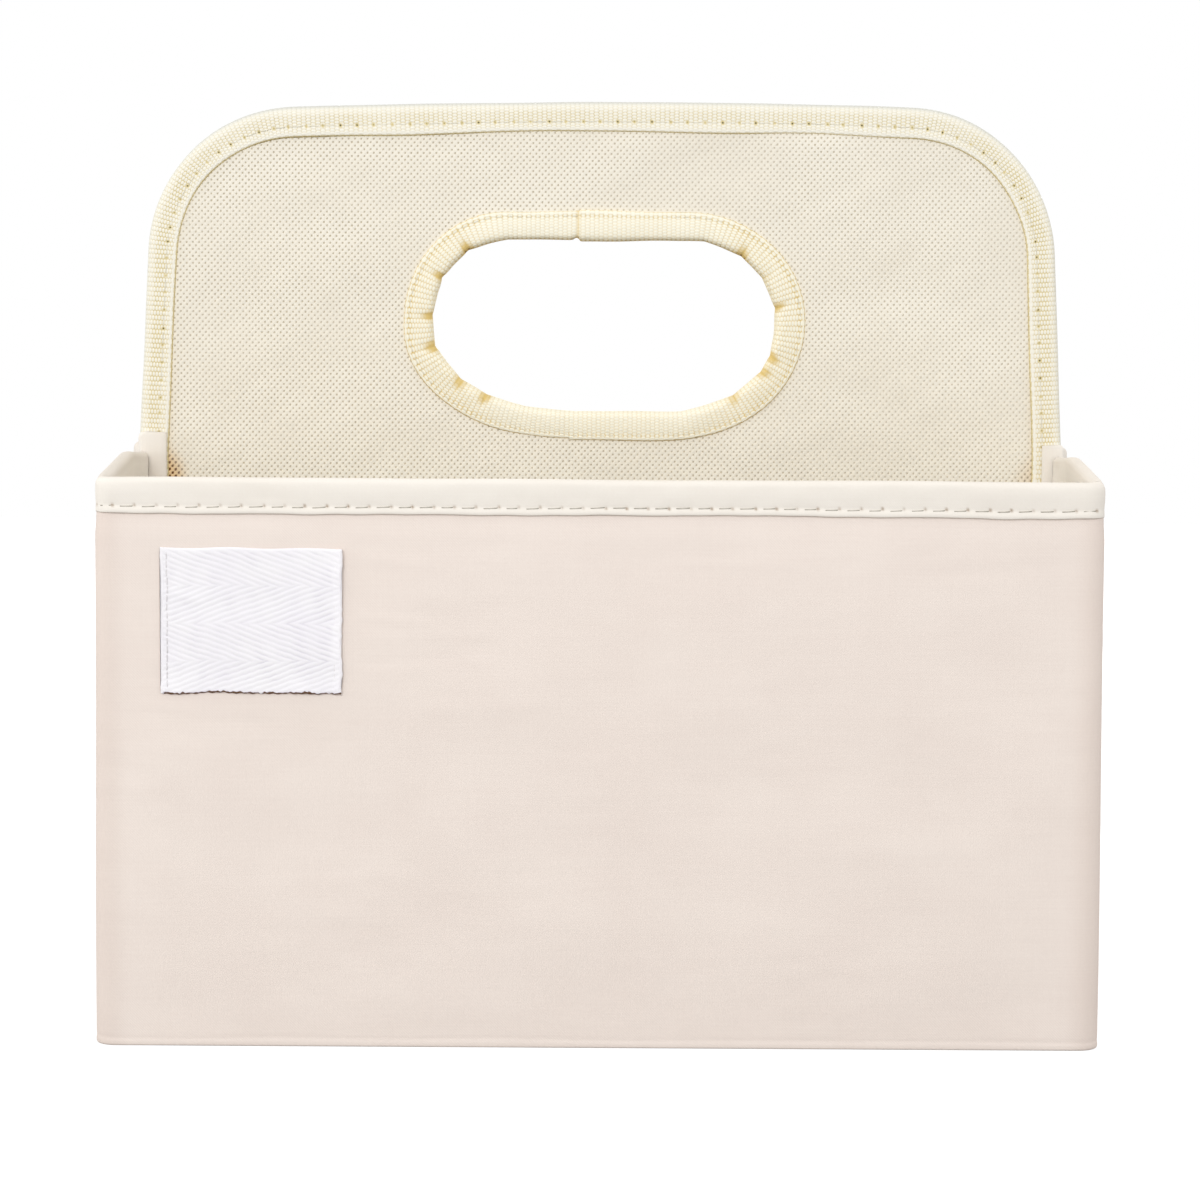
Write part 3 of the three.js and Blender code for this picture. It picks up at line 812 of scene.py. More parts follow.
# The base and the floor inserts
def half_width(y, inset):
    """Half the caddy's inner width at y, as far behind the cover's face as the inset."""
    radius = max(CORNER - inset, 0.6)
    past = np.clip(np.abs(y) - (COVER_Y - inset - radius), 0, radius)
    return COVER_X - inset - drawn_in(y) - corner_drop(past, radius)


def slab(name, ys, half, columns, top, low, edge, material):
    """A flat cloth of rows across the caddy, from their half widths, its seen face and the level of its other
    face. The edges of the seen face are rounded."""
    t = np.linspace(-1, 1, columns)
    x = half[:, None] * t[None]
    y = np.broadcast_to(ys[:, None], x.shape)
    rim = np.minimum(half[:, None] * (1 - np.abs(t[None])), np.minimum(ys - ys[0], ys[-1] - ys)[:, None])
    drop = edge * edge_roll(rim, 1.4)
    rings = closed_behind(np.stack([x, y, top(x, y) - drop], -1), 2, low)
    return skin(name, rings, places_closed(np.stack([x, y], -1), 3), material)


def rows(reach, step, corner):
    """Rows across the caddy from -reach to reach, closer together at the rounded corners."""
    near = corner * (1 - np.cos(np.linspace(0, np.pi / 2, 9)))
    middle = np.arange(corner - reach, reach - corner, step)[1:]
    return np.concatenate([near - reach, middle, reach - near[::-1]])


INSERT_OVERLAP = 0.45  # how far an insert's cloth goes past its card, and is drawn down over its edge
INSERT_CORNER = 4.0
INSERT_WAVES = [(0.14, 55, 1), (0.05, 16, 1)]


def bottom_cloth(kind, inset, corner, face, wave, behind, look):
    """A cloth of the bottom: face and behind are the levels of its two faces, wave its unevenness."""
    ys = rows(COVER_Y - inset, 3.0, corner)
    height, length, seed = wave
    piece = slab(f"bottom_{kind}_cloth", ys, half_width(ys, inset), 100,
                 lambda x, y: face + height * uneven(x, y, length, seed), behind, 0.0, look)
    dressed(piece, [f"bottom_{kind}"])


def insert(name, seed):
    """The cloth over one floor insert, drawn down over its card's edge."""
    low, high = span(f"{name}_card")
    top = span(f"{name}_cloth")[1][2]
    middle, reach = (low[1] + high[1]) / 2, (high[1] - low[1]) / 2 + INSERT_OVERLAP
    ys = rows(reach, 1.8, INSERT_CORNER) + middle
    past = np.maximum(np.abs(ys - middle) - (reach - INSERT_CORNER), 0)
    drop = corner_drop(past, INSERT_CORNER)
    piece = slab(f"{name}_top_cloth", ys, high[0] + INSERT_OVERLAP - drop, 150,
                 lambda x, y: top - 0.1 + waves(x, y, seed, INSERT_WAVES),
                 INSERT_CORNER, INSERT_OVERLAP, LINING)
    dressed(piece, [f"{name}_cloth"], name)


bottom_cloth("cover", 3.45, 2.5, 0.12, (0.1, 60, 901), 0.8, COVER)
bottom_cloth("lining", 3.0, 3.0, 1.7, (0.08, 50, 911), 1.1, LINING)
insert("front_insert", 931)
insert("rear_insert", 941)


# The handle panel
SHOULDER = 48.0
SHOULDER_TAPER = 3.2
CROWN = 1.5


def handle_outline():
    """The handle panel's edge over its tape, from the base on the right over the top to the base on the left.
    The crown leans up a little to the right, and the shoulders differ a little."""
    centre = (PANEL_X - SHOULDER_TAPER - SHOULDER, PANEL_TOP - CROWN - SHOULDER)
    x = np.linspace(centre[0], 0, 30)
    top = np.stack([x, PANEL_TOP - CROWN * (x / centre[0]) ** 2], 1)
    right = np.vstack([[[PANEL_X, PANEL_LOW], [PANEL_X, RIM]], arc(centre, SHOULDER, 0, 90, 40), top[1:]])
    outline = np.vstack([right, (right[:-1] * (-1, 1))[::-1]])
    x, z = outline.T
    outline[:, 1] += (0.35 + 0.006 * np.clip(x, -90, 70)) * smooth(z, 230, 280)
    outline[:, 0] += 0.25 * smooth(z, 222, 262) * smooth(-x, 80, 130)
    outline[:, 0] -= 0.45 * smooth(z, 238, 264) * smooth(x, 80, 130)
    return outline


HOLE_MIDDLE = (1.1, RIM + (PANEL_TOP - RIM) * 0.374)
HOLE_HALF = (55.2, (PANEL_TOP - RIM) * 0.485 / 2)
# Its corners as (across, up, length, height, starting angle), clockwise seen from the front.
HOLE_CORNERS = [(-1, -1, 44, 26, 270), (-1, 1, 24.5, 24.5, 180), (1, 1, 28, 27, 90), (1, -1, 34, 27.5, 0)]


def hole_outline():
    """The opening's edge, clockwise seen from the front, so that the panel is on the left hand."""
    (cx, cz), (a, b) = HOLE_MIDDLE, HOLE_HALF
    corners = []
    for across, up, length, height, start in HOLE_CORNERS:
        centre = (cx + across * (a - length), cz + up * (b - height))
        corners.append(arc((0, 0), 1, start, start - 90, 30) * (length, height) + centre)
    return np.vstack(corners)


# Both tapes: half their thickness over the panel, the depth of their fold, and how thick their cloth is.
TAPE_HALF = 3.3
TAPE_FOLD = 1.8
TAPE_CLOTH = 0.9
LEG_FROM = 2.15  # the side from which a point belongs to a leg and not to the fold
SWAY_FADE = (4.5, 0.5)  # the tapes' inner edges waver, and away from them less and less


def tape_section(width, half, fold, leg, arc_steps, thick):
    """A tape folded over an edge: (depth, side) of its section, the way outwards there, the place across the
    tape counted from the fold's middle, and which points are seen. The leg is (distance from the tape's end,
    side) up to the fold."""
    down = np.stack([width - leg[:, 0], leg[:, 1]], 1)
    angle = np.radians(np.linspace(0, 180, arc_steps + 2)[1:-1])
    over = np.stack([fold - fold * np.sin(angle), half * np.cos(angle)], 1)
    outer = np.vstack([down, over, down[::-1] * (1, -1)])
    inner = [(width - 0.5, 1.15 - half), (fold, thick - half), (thick, -half / 2), (thick * 0.9, 0.0),
             (thick, half / 2), (fold, half - thick), (width - 0.5, half - 1.15)]
    section = np.vstack([outer, inner])
    out = right_hand(np.roll(section, -1, 0) - np.roll(section, 1, 0))
    across = distances(section)
    shown = np.arange(len(section)) < len(outer)
    return section, out, across - across[len(leg) + arc_steps // 2], shown


def swollen(section, out, swell):
    """Depth and side of a section's points, moved outwards by the swell."""
    return section[:, 0] + out[:, 0] * swell, section[:, 1] + out[:, 1] * swell


def rib_height(s, pitch):
    """Round ribs with narrow valleys between, from 0 to 1."""
    return np.abs(np.sin(np.pi * s / pitch)) ** 0.75


def swept(line, depth, side):
    """Rings in the handle panel's plane: depth inwards from the line, side to the back."""
    plan = line.points[:, None] - line.out[:, None] * depth[..., None]
    return np.stack([plan[..., 0], side, plan[..., 1]], -1)


def tape_threads(name, line, starts, ends, inset, level, look):
    """A row of stitches on each face of a tape, from the starts to the ends along its line. The inset gives
    how far in from the line they lie, for a face and distances along it."""
    threads = []
    for way, face in (("front", -1), ("rear", 1)):
        spots = []
        for far in (starts, ends):
            spot, away = line.at(far)
            place = spot - away * inset(face, far)[:, None]
            spots.append(np.stack([place[:, 0], np.full(len(place), face * level), place[:, 1]], 1))
        outs = np.tile([0.0, face, 0.0], (len(starts), 1))
        threads.append(stitched(f"{name}_{way}_stitches", *spots, outs, TAPE_THREAD, "woven_tape", *look))
    return threads


# The edge tape's leg, (distance from its inner edge, side), from the thin lip under it, painted as the shadow
# there, to the fold.
EDGE_LEG = np.array([
    (-0.35, FACING_FACE - 0.1), (-0.1, 2.4), (0.0, 2.72), (0.2, 2.95), (0.7, 3.08), (1.4, 3.12), (2.1, 3.1),
    (2.75, 3.07), (3.05, 3.05), (3.35, 3.07), (4.0, 3.14), (4.9, 3.2), (6.2, 3.27), (7.5, 3.3)])
EDGE_WIDTH = 9.3
EDGE_STITCH = 5.56
EDGE_STITCH_IN = 3.05


def edge_line():
    """The handle panel's edge, with four stations to a rib, and the ribs' pitch."""
    ribs = int(round(Line(handle_outline(), 1.0, reach=12).length / RIB))
    line = Line(handle_outline(), 1.0, reach=12, whole=4 * ribs)
    return line, line.length / ribs


def edge_holes(line):
    """Where the edge tape's stitches go in, and how much each draws the tape in."""
    draw = np.random.default_rng(305)
    holes = np.arange(4.0, line.length - 3, EDGE_STITCH)
    holes = line.s[np.searchsorted(line.s, holes + draw.uniform(-0.3, 0.3, len(holes)))]
    return holes, draw.choice([0.6, 0.75, 1.0], len(holes))


def edge_tape():
    line, pitch = edge_line()
    section, out, across, shown = tape_section(EDGE_WIDTH, TAPE_HALF, TAPE_FOLD, EDGE_LEG, 7, TAPE_CLOTH)
    s = line.s[:, None]
    end = EDGE_WIDTH - section[:, 0]
    is_leg = np.abs(section[:, 1]) > LEG_FROM
    amount = np.where(is_leg, np.interp(end, [0, 0.4, 1.2, 2.0], [0, 0.25, 0.4, 1]), 1)
    rib = rib_height(s, pitch)
    swell = shown * (0.06 * amount * (rib - 0.6) + 0.06 * uneven(s, across[None], 26, 301, 1.5))
    depth, side = swollen(section, out, swell)
    drift = {way: 0.28 * waver(line.s, 75, 302 + (way > 0)) for way in (-1, 1)}
    shift = np.where(side < 0, drift[-1][:, None], drift[1][:, None]) - 0.12 * (rib - 0.5)
    depth = depth + shift * smooth(end, *SWAY_FADE) * shown

    holes, weight = edge_holes(line)
    near = (bell(s - holes[None], 0.48) * weight[None]).sum(1)[:, None]
    at_row = bell(end - EDGE_STITCH_IN, 0.42) * shown * is_leg
    side = side - np.sign(side) * 0.2 * near * at_row
    # Painted shade: dark stitch holes, and the shadow under the tape's edge painted in dashes on its lip.
    dashes = 0.5 + 0.5 * np.sin(2 * np.pi * s / 2.15 + 3 * waver(s, 21, 306))
    shade = np.clip(at_row * near + (0.36 + 0.24 * dashes) * shown * smooth(end, 0.1, -0.05), 0, 1)
    places = places_for(line.s * RIB / pitch, across)
    piece = dressed(skin("handle_edge_tape_cloth", swept(line, depth, side), places, EDGE_TAPE, shade),
                    ["handle_edge_tape"])

    def inset(face, far):
        sway = np.interp(far, line.s, drift[face])
        return EDGE_WIDTH - EDGE_STITCH_IN + sway * smooth(EDGE_STITCH_IN, *SWAY_FADE)

    threads = tape_threads("handle_edge", line, holes[:-1] + 0.9, holes[1:] - 0.5, inset, 3.0, (0.17, 0.02))


# Where the hole's tape is gathered: (x, z) on the opening's edge, how far the edge is drawn in, and how
# much golden shade is painted in the gather. Those without gold only mark where the edge bends.
GATHERS = [
    (-43, 240.5, 0.18, 1), (-51.8, 232, 0.15, 1), (-54.2, 219.5, 0.12, 1), (-53.6, 209.5, 0.15, 1),
    (-45.5, 198.5, 0, 0.8), (-37, 193.5, 0.1, 0.9), (-24, 190, 0, 0), (-8, 188.8, 0.1, 0), (26, 189, 0, 0),
    (43, 193.5, 0.05, 0.6), (53.5, 200.5, 0.05, 0.8), (56, 206.5, 0.15, 1), (56.3, 222.5, 0.15, 0.9),
    (53, 233, 0.05, 0.3), (46.5, 241.5, 0.2, 0.8), (33, 243.8, 0, 0), (-30, 243.9, 0, 0),
]
# Between two gathers the edge runs nearly straight: it takes a share of the straight line, up to a limit.
STRAIGHT_SHARE = 0.6
STRAIGHT_LIMIT = 0.6
HOLE_WIDTH = 9.0
HOLE_RIBS = 194
HOLE_STITCHES = 95
HOLE_STITCH_IN = 1.45
OVERLAP_X = -7.4  # where the tape's end laps over its start
# The hole tape's leg, (distance from its edge on the facing, side), from a thin lip under that edge, painted
# as the shadow there, to the fold.
HOLE_LEG = np.array([
    (-0.3, FACING_FACE - 0.1), (-0.08, 2.4), (0.0, 2.72), (0.2, 2.95), (0.6, 3.06), (1.05, 3.06), (1.5, 3.03),
    (1.9, 3.08), (2.5, 3.18), (3.5, 3.32), (4.7, 3.38), (6.0, 3.36), (7.2, 3.3)])


def hole_gathers(line):
    """The gathers' distances along the opening's edge, and how far the nearly straight stretches between them
    cut off its rounding."""
    at = [np.argmin(np.hypot(line.points[:, 0] - x, line.points[:, 1] - z)) for x, z, *_ in GATHERS]
    marks = np.sort(at)
    cut_off = np.zeros(len(line.points))
    for first, last in zip(marks, np.append(marks[1:], marks[0] + len(line.points))):
        index = np.arange(first, last + 1) % len(line.points)
        stretch = line.points[index]
        way = stretch[-1] - stretch[0]
        off = (stretch - stretch[0]) @ np.array([-way[1], way[0]]) / np.hypot(*way)
        cut_off[index] = np.maximum(off, 0)
    return line.s[at], np.minimum(STRAIGHT_SHARE * cut_off, STRAIGHT_LIMIT)


def looped(line, off):
    """Distances along a closed line, counted from -half to half of its length."""
    return (off + line.length / 2) % line.length - line.length / 2


def gather(i, off, side, inward, deep, gold):
    """What one gather adds to the tape's swell and to its golden shade, each gather a little different."""
    face = np.where(side < 0, 1.0, 0.75 + 0.35 * math.sin(2.1 * i))
    slant = off + (0.25 * math.sin(3.3 * i)) * inward
    wide = 1.7 + 0.4 * math.sin(5.1 * i)
    fade = face * smooth(inward, 7.6, 0.6)
    beside = bell(slant - 2.2 * wide, wide) + bell(slant + 2.2 * wide, wide)
    swell = 0.07 * gold * fade * beside - fade * (0.14 * gold + 0.75 * deep) * bell(slant, wide * 0.8)
    narrower = wide * (1.1 - 0.7 * smooth(inward, 0.5, 6))
    return swell, gold * face * (0.55 * smooth(inward, 5.0, 1.0) + 0.08) * bell(slant, narrower)


def hole_relief(line, section, across, is_leg, rib):
    """How far the hole's tape swells out, how much golden shade is painted at its gathers, and the way from
    its lapped end.
    """
    s, inward = line.s[:, None], section[:, 0]
    amount = np.where(is_leg, np.interp(HOLE_WIDTH - inward, [0, 0.4, 1.2, 1.6], [0, 0.2, 0.5, 1]), 1)
    marks, cut_off = hole_gathers(line)
    swell = 0.05 * amount * (rib - 0.6) + 0.08 * uneven(s, across[None], 15, 401, 1.3)
    swell = swell + cut_off[:, None] * smooth(inward, 8.0, 0.5)
    gathered = 0
    for i, (mark, (_, _, deep, gold)) in enumerate(zip(marks, GATHERS)):
        more, golden = gather(i, looped(line, s - mark), section[:, 1], inward, deep, gold)
        swell, gathered = swell + more, gathered + golden
    lap_at = line.s[np.argmin(np.hypot(line.points[:, 0] - OVERLAP_X, line.points[:, 1] - 300))]
    lap = looped(line, s - lap_at)
    swell = swell + 0.45 * smooth(lap, 0.0, 0.6) * smooth(lap, 30, 9)
    return swell - 0.7 * bell(lap + 0.7, 0.9) * smooth(inward, 3.0, 0), gathered, lap


def hole_shade(inward, level, is_leg, rib, gathered, lap):
    """Shade at the stitches, under the tape's edge, in the top of the opening, at gathers and at the lap."""
    end = HOLE_WIDTH - inward
    shade = 0.35 * is_leg * bell(end - HOLE_STITCH_IN, 0.45) * (1 - rib)
    shade = shade + is_leg * smooth(end, 0.05, -0.08) * (0.15 + 0.35 * smooth(level, 222, 192))
    shade = shade + 0.5 * smooth(inward, 0.9, 0.1) * smooth(level, 226, 240) * (1 - 0.7 * rib)
    return shade + np.minimum(gathered * (1 - 0.3 * rib), 0.45) + 0.25 * bell(lap + 0.15, 0.5)


def hole_tape():
    """The hand hole's tape, its fold drawn back at each gather and nearly straight between two."""
    line = Line(hole_outline(), 1.0, loop=True, reach=8, whole=6 * HOLE_RIBS)
    pitch = line.length / HOLE_RIBS
    section, out, across, shown = tape_section(HOLE_WIDTH, TAPE_HALF, TAPE_FOLD, HOLE_LEG, 11, TAPE_CLOTH)
    inward, is_leg = section[:, 0], np.abs(section[:, 1]) > LEG_FROM
    rib = rib_height(line.s[:, None], pitch)
    swell, gathered, lap = hole_relief(line, section, across, is_leg, rib)
    shade = hole_shade(inward, line.points[:, 1:], is_leg, rib, gathered, lap)
    drift = 0.25 * waver(line.s, 40, 402)
    shift = (drift[:, None] - 0.1 * (rib - 0.5)) * smooth(HOLE_WIDTH - inward, *SWAY_FADE) * shown
    depth, side = swollen(section, out, shown * swell)
    places = places_for(line.s * RIB / pitch, across, True)
    piece = dressed(skin("hand_hole_tape_cloth", swept(line, depth + shift, side), places, HOLE_TAPE,
                         np.clip(shade * shown, 0, 1), True), ["hand_hole_tape"])
    holes = np.linspace(0, line.length, HOLE_STITCHES + 1)[:-1]
    inset = HOLE_WIDTH - HOLE_STITCH_IN + np.interp(holes, line.s, drift)
    threads = tape_threads("hand_hole", line, holes + 0.5, holes + holes[1] - 0.5,
                           lambda face, far: inset, 2.94, (0.15, 0.04, 0.3))


# The facings reach this far under both tapes. The rest is their unevenness and their creases, by their side.
UNDER_TAPE = 2.2
FACING_SEEDS = {-1: 501, 1: 521}
FACING_WAVES = [(0.32, 95, 1), (0.2, 38, 1), (0.07, 15, 1)]
FACING_CREASES = {
    -1: [(-100, 262, -62, 246, 0.22, 5), (-66, 228, -88, 205, -0.2, 6), (70, 250, 96, 262, 0.25, 6),
         (66, 222, 104, 228, -0.2, 5), (30, 262, 58, 254, 0.18, 5), (-30, 182, 4, 179, 0.15, 4),
         (72, 206, 112, 190, 0.22, 6), (-118, 196, -92, 186, 0.15, 5)],
    1: [(-96, 250, -70, 258, 0.2, 6), (68, 226, 100, 240, -0.2, 6), (-70, 210, -104, 196, 0.2, 6)],
}
# The painted shade in the crevice at the facing's foot: its place, how far it goes sideways, up and down, and
# how it fades.
CREVICE_SHADE_X = 140
CREVICE_SHADE_Z = 165
CREVICE_SHADE_LOW_Z = 163  # its lower part counts from here
CREVICE_SHADE_WIDE, CREVICE_SHADE_UP, CREVICE_SHADE_DOWN = 8, 13, 9
CREVICE_SHADE_FADE = (1.05, 0.35)
RIGHT_CREVICE_SHADE_SHARE = 0.3


def from_hole(points):
    """Bearings and distances from the hand hole's middle, in the order of the bearings."""
    off = points - np.array(HOLE_MIDDLE)
    bearing = np.arctan2(off[:, 1], off[:, 0])
    order = np.argsort(bearing)
    return bearing[order], np.hypot(*off[order].T), order


def facing_spokes():
    """Points from under the hole's tape out to under the edge's tape, along lines from the hole's middle: the
    points, how far each is from the hole and from the panel's edge."""
    outline = Line(handle_outline(), 1.0, reach=12)
    outer = outline.points - outline.out * UNDER_TAPE
    bottom = np.stack([np.linspace(outer[-1, 0], outer[0, 0], 160)[1:-1], np.full(158, PANEL_LOW)], 1)
    outer = np.vstack([outer, bottom])
    hole = Line(hole_outline(), 0.5, loop=True, reach=8)
    far, _, order = from_hole(outer)
    near, reach, _ = from_hole(hole.points - hole.out * UNDER_TAPE)
    inner_reach = np.interp(far, near, reach, period=2 * np.pi)[:, None]
    outer, centre = outer[order], np.array(HOLE_MIDDLE)
    inner = centre + np.stack([np.cos(far), np.sin(far)], 1) * inner_reach
    spots = inner[:, None] + (outer - inner)[:, None] * np.linspace(0, 1, 62)[None, :, None]
    to_hole = np.hypot(*(spots - centre).transpose(2, 0, 1)) - inner_reach
    return spots, to_hole, np.hypot(*(outer[:, None] - spots).transpose(2, 0, 1))


def facing_shade(x, z, edge):
    """A little painted shade beside the edge's tape, and painted shade in the crevice at the facing's foot,
    less on the right.
    """
    touching = 0.12 * smooth(edge, 11.0, 7.2) * smooth(z, 215, 178)
    above = z > CREVICE_SHADE_Z
    off = (z - np.where(above, CREVICE_SHADE_Z, CREVICE_SHADE_LOW_Z)) / np.where(above, CREVICE_SHADE_UP, CREVICE_SHADE_DOWN)
    nook = np.hypot((CREVICE_SHADE_X - np.abs(x)) / CREVICE_SHADE_WIDE, off)
    return np.clip(touching + smooth(nook, *CREVICE_SHADE_FADE) * np.where(x < 0, 1.0, RIGHT_CREVICE_SHADE_SHARE), 0, 1)


def facing(name, side):
    """One face of the handle panel, softly wrinkled, with rays about the hole."""
    spots, to_hole, edge = facing_spokes()
    x, z = spots[..., 0], spots[..., 1]
    wave = waves(x, z, FACING_SEEDS[side], FACING_WAVES)
    bearing = np.arctan2(z - HOLE_MIDDLE[1], x - HOLE_MIDDLE[0])
    rays = 0.16 * np.sin(9 * bearing + 1.3) * bell(to_hole - 12, 16)
    folds = sum(crease(x, z, stroke) for stroke in FACING_CREASES[side])
    relief = (wave + rays) * smooth(to_hole, 4, 22) * smooth(edge, 5, 18) + folds
    face = side * (FACING_FACE + np.maximum(relief + 0.08, -0.35))
    rings = closed_behind(np.stack([x, face, z], -1), 1, side * FACING_BACK)
    places = places_closed(spots, 3)
    places = np.concatenate([places, places[:1]])
    shade = np.pad(facing_shade(x, z, edge), ((0, 0), (0, 2)))
    piece = dressed(skin(f"{name}_cloth", rings, places, FACING, shade, True), [name])


JOINT_FOLD = 1.5
JOINT_CORNER = 2.6
JOINT_WAVES = [(0.12, 24, 1), (0.05, 8, 1)]


def joint(name, side, short, seed, inner_shade):
    """Cloth folded over the handle panel's upright edge, its top corner rounded. Its fold ends a little short
    of its CAD solid."""
    low, high = span(name)
    fold_x = max(abs(low[0]), abs(high[0])) - short
    width, half, top = high[0] - low[0], high[1], high[2]
    leg = np.array([(0, 3.75), (0.2, 4), (0.6, 4.25), (1.6, half), (3.5, half), (width - JOINT_FOLD, half)])
    section, out, across, shown = tape_section(width, half, JOINT_FOLD, leg, 7, CLOTH)
    level = np.concatenate([np.arange(low[2], top - 3, 2.2), np.linspace(top - 3, top, 9)])
    z = level[:, None]
    swell = waves(z, across[None], seed, JOINT_WAVES) * shown * smooth(z, RIM + 2, RIM + 5)
    depth, y = swollen(section, out, swell)
    drop = corner_drop(np.maximum(z - (top - JOINT_CORNER), 0), JOINT_CORNER)
    depth = depth + drop * smooth(section[:, 0], width * 0.9, 0)
    slope = 0.5 * smooth(depth, 0, width) * smooth(z, top - 3, top)
    rings = np.stack([side * (fold_x - depth), y, z - slope], -1)
    # Painted shade on the top of the fold, and below it towards the compartment, more on the left.
    shade = 0.12 * smooth(z, top - 0.5, top) + inner_shade * smooth(z, top - 5, top - 10)
    piece = dressed(skin(f"{name}_folded", rings, places_for(level, across), BINDING, shade),
                    [name])


edge_tape()
hole_tape()
facing("handle_front_facing", -1)
facing("handle_rear_facing", 1)
joint("right_joint_cloth", 1, 0, 601, 0.03)
joint("left_joint_cloth", -1, 0.7, 611, 0.14)


# The patch
PATCH_CLOTH = 0.62
PATCH_RIB = 1.7
RIB_SLOPE = math.tan(math.radians(20))
BAND_TOPS = np.array([34.0, 22.8, 11.3])  # below the patch's upper edge
SEWN_LEFT = 2.0
SEWN_RIGHT = 2.2
PATCH_STITCH = 2.6
CURL = 7  # the height up to which the lower edge lifts off


def frays(s, seed, *kinds):
    """How a cut edge wavers: the kinds are a height and a length each."""
    return waves(s, np.zeros_like(s), seed, [(*kind, 1) for kind in kinds])


def patch_spots(low, high, t, q):
    """The patch's points seen from the front, its cut edges uneven."""
    along, up = t * (high[0] - low[0]), q * (high[2] - low[2])
    left = low[0] + frays(up, 701, (0.35, 18), (0.12, 3))
    right = high[0] + frays(up, 703, (0.3, 20), (0.12, 3.5))
    bottom = low[2] - 0.35 + frays(along, 705, (0.2, 25), (0.14, 2.6))
    top = high[2] + frays(along, 707, (0.2, 24))
    x = left[None] + (right - left)[None] * t[:, None]
    return x, bottom[:, None] + (top - bottom)[:, None] * q[None]


def patch_ribs(u, v, height):
    """The twill's ribs from 0 to 1, slanting one way and the other in four bands."""
    wander = 0.25 * waver(u[:, 0], 12, 708)[:, None, None]
    band = (v[..., None] > height - BAND_TOPS + wander).sum(-1)
    phase = (v + np.where(band % 2 == 0, -1, 1) * RIB_SLOPE * u) / PATCH_RIB + 0.37 * band
    return np.abs(np.sin(np.pi * phase)) ** 0.8


def patch_lift(u, v, width, height):
    """How far the patch lifts off the wall, most at its lower edge and its right side."""
    lift = 0.12 + 0.5 * smooth(v, CURL, 0) * (0.6 + 0.4 * waver(u[:, 0], 14, 709))[:, None]
    lift = lift + 0.6 * smooth(u, width - 6, width) * smooth(v, height - 14, height)
    return lift + 0.7 * smooth(u, width - 3.5, width)


def patch_shade(u, v, rib, width, height):
    """Painted shade in the valleys between the ribs inside the sewing, and the brown lower edge: its own
    browned cut and the painted shadow under it.
    """
    shown = smooth(np.minimum(u, width - u), 1.6, 3.6) * smooth(v, 2.6, 4.4) * smooth(height - v, 0.8, 1.8)
    shade = (1 - rib) * shown * (0.2 + 0.12 * uneven(u, v, 9, 711) + 0.15 * smooth(u - v, 0, 30))
    frayed = 0.55 + frays(u[:, :1], 712, (0.18, 7), (0.14, 1.4))
    return np.clip(shade, 0, 0.75) + smooth(v, frayed + 0.15, frayed - 0.1) * smooth(u, 0.3, 1.2)


def patch_threads(low, width, height, up):
    """The stitches down both sides of the patch."""
    threads = []
    marks = np.arange(1.4, height - 1.2, PATCH_STITCH)
    outs = np.tile([0.0, -1.0, 0.0], (len(marks), 1))
    for way, inset in (("left", SEWN_LEFT), ("right", width - SEWN_RIGHT)):
        column = low[0] + inset + 0.15 * waver(marks, 12, 720)
        ends = []
        for level in (low[2] + marks, low[2] + marks + 2.2):
            lift = np.interp(level, up + low[2], 0.12 + 0.192 * smooth(up, CURL, 0))
            ends.append(np.stack([column, -(front_face(column, level) + PATCH_CLOTH + lift), level], 1))
        threads.append(stitched(f"front_patch_{way}_stitches", *ends, outs, THREAD, "patch_twill",
                                0.17, 0.04, 0.3))
    return threads


def patch():
    """Herringbone twill, its ribs slanting one way and the other in four bands, its cut edges uneven."""
    low, high = span("front_patch")
    width, height = high[0] - low[0], high[2] - low[2]
    t, q = np.linspace(0, 1, 270), np.linspace(0, 1, 216)
    x, z = patch_spots(low, high, t, q)
    u, v = np.broadcast_arrays(t[:, None] * width, q[None] * height)
    rib = patch_ribs(u, v, height)
    lift = patch_lift(u, v, width, height)
    edge = np.minimum(np.minimum(u, width - u), np.minimum(v, height - v))
    sewn = bell(u - SEWN_LEFT, 0.5) + bell(width - SEWN_RIGHT - u, 0.5)
    soft = 0.14 * uneven(u, v, 24, 710) - 0.05 * sewn + 0.03 * np.sin(2 * np.pi * u / THREAD_PITCH)
    ribs = 0.14 * (rib - 0.5) * smooth(edge, 0.2, 1.2)
    ground = front_face(x, z)
    face = ground + lift + PATCH_CLOTH + soft + ribs - 0.4 * edge_roll(edge, 0.7)
    rings = closed_behind(np.stack([x, -face, z], -1), 1, -(ground + lift + 0.02)[:, [-1, 0]])
    shade = np.pad(patch_shade(u, v, rib, width, height), ((0, 0), (0, 2)))
    places = places_closed(np.stack([u, v], -1), 1)
    piece = dressed(skin("front_patch_twill", rings, places, PATCH, np.clip(shade, 0, 1)),
                    ["front_patch"])
    patch_threads(low, width, height, q * height)


patch()


# The cards keep their CAD shape.
for node in frame["nodes"]:
    if node.endswith("_card"):
        piece = bpy.data.objects[node]
        piece.data.materials.clear()
        piece.data.materials.append(CARD)


# Floor, light and camera
FLOOR_HALF = 1.5
FLOOR_GREY = (0.4, 0.4, 0.4, 1)
FLOOR_GLOW = 0.75
WORLD_LEVEL = 0.8
WHITE = (1, 1, 1, 1)


def shown_directly(tree):
    """1 for what the camera sees directly, in a reflection or through glass."""
    path = tree.nodes.new("ShaderNodeLightPath")
    total = path.outputs["Is Camera Ray"]
    for name in ("Is Glossy Ray", "Is Transmission Ray"):
        total = add_node(tree, "Math", [total, path.outputs[name]], operation="MAXIMUM")
    return total


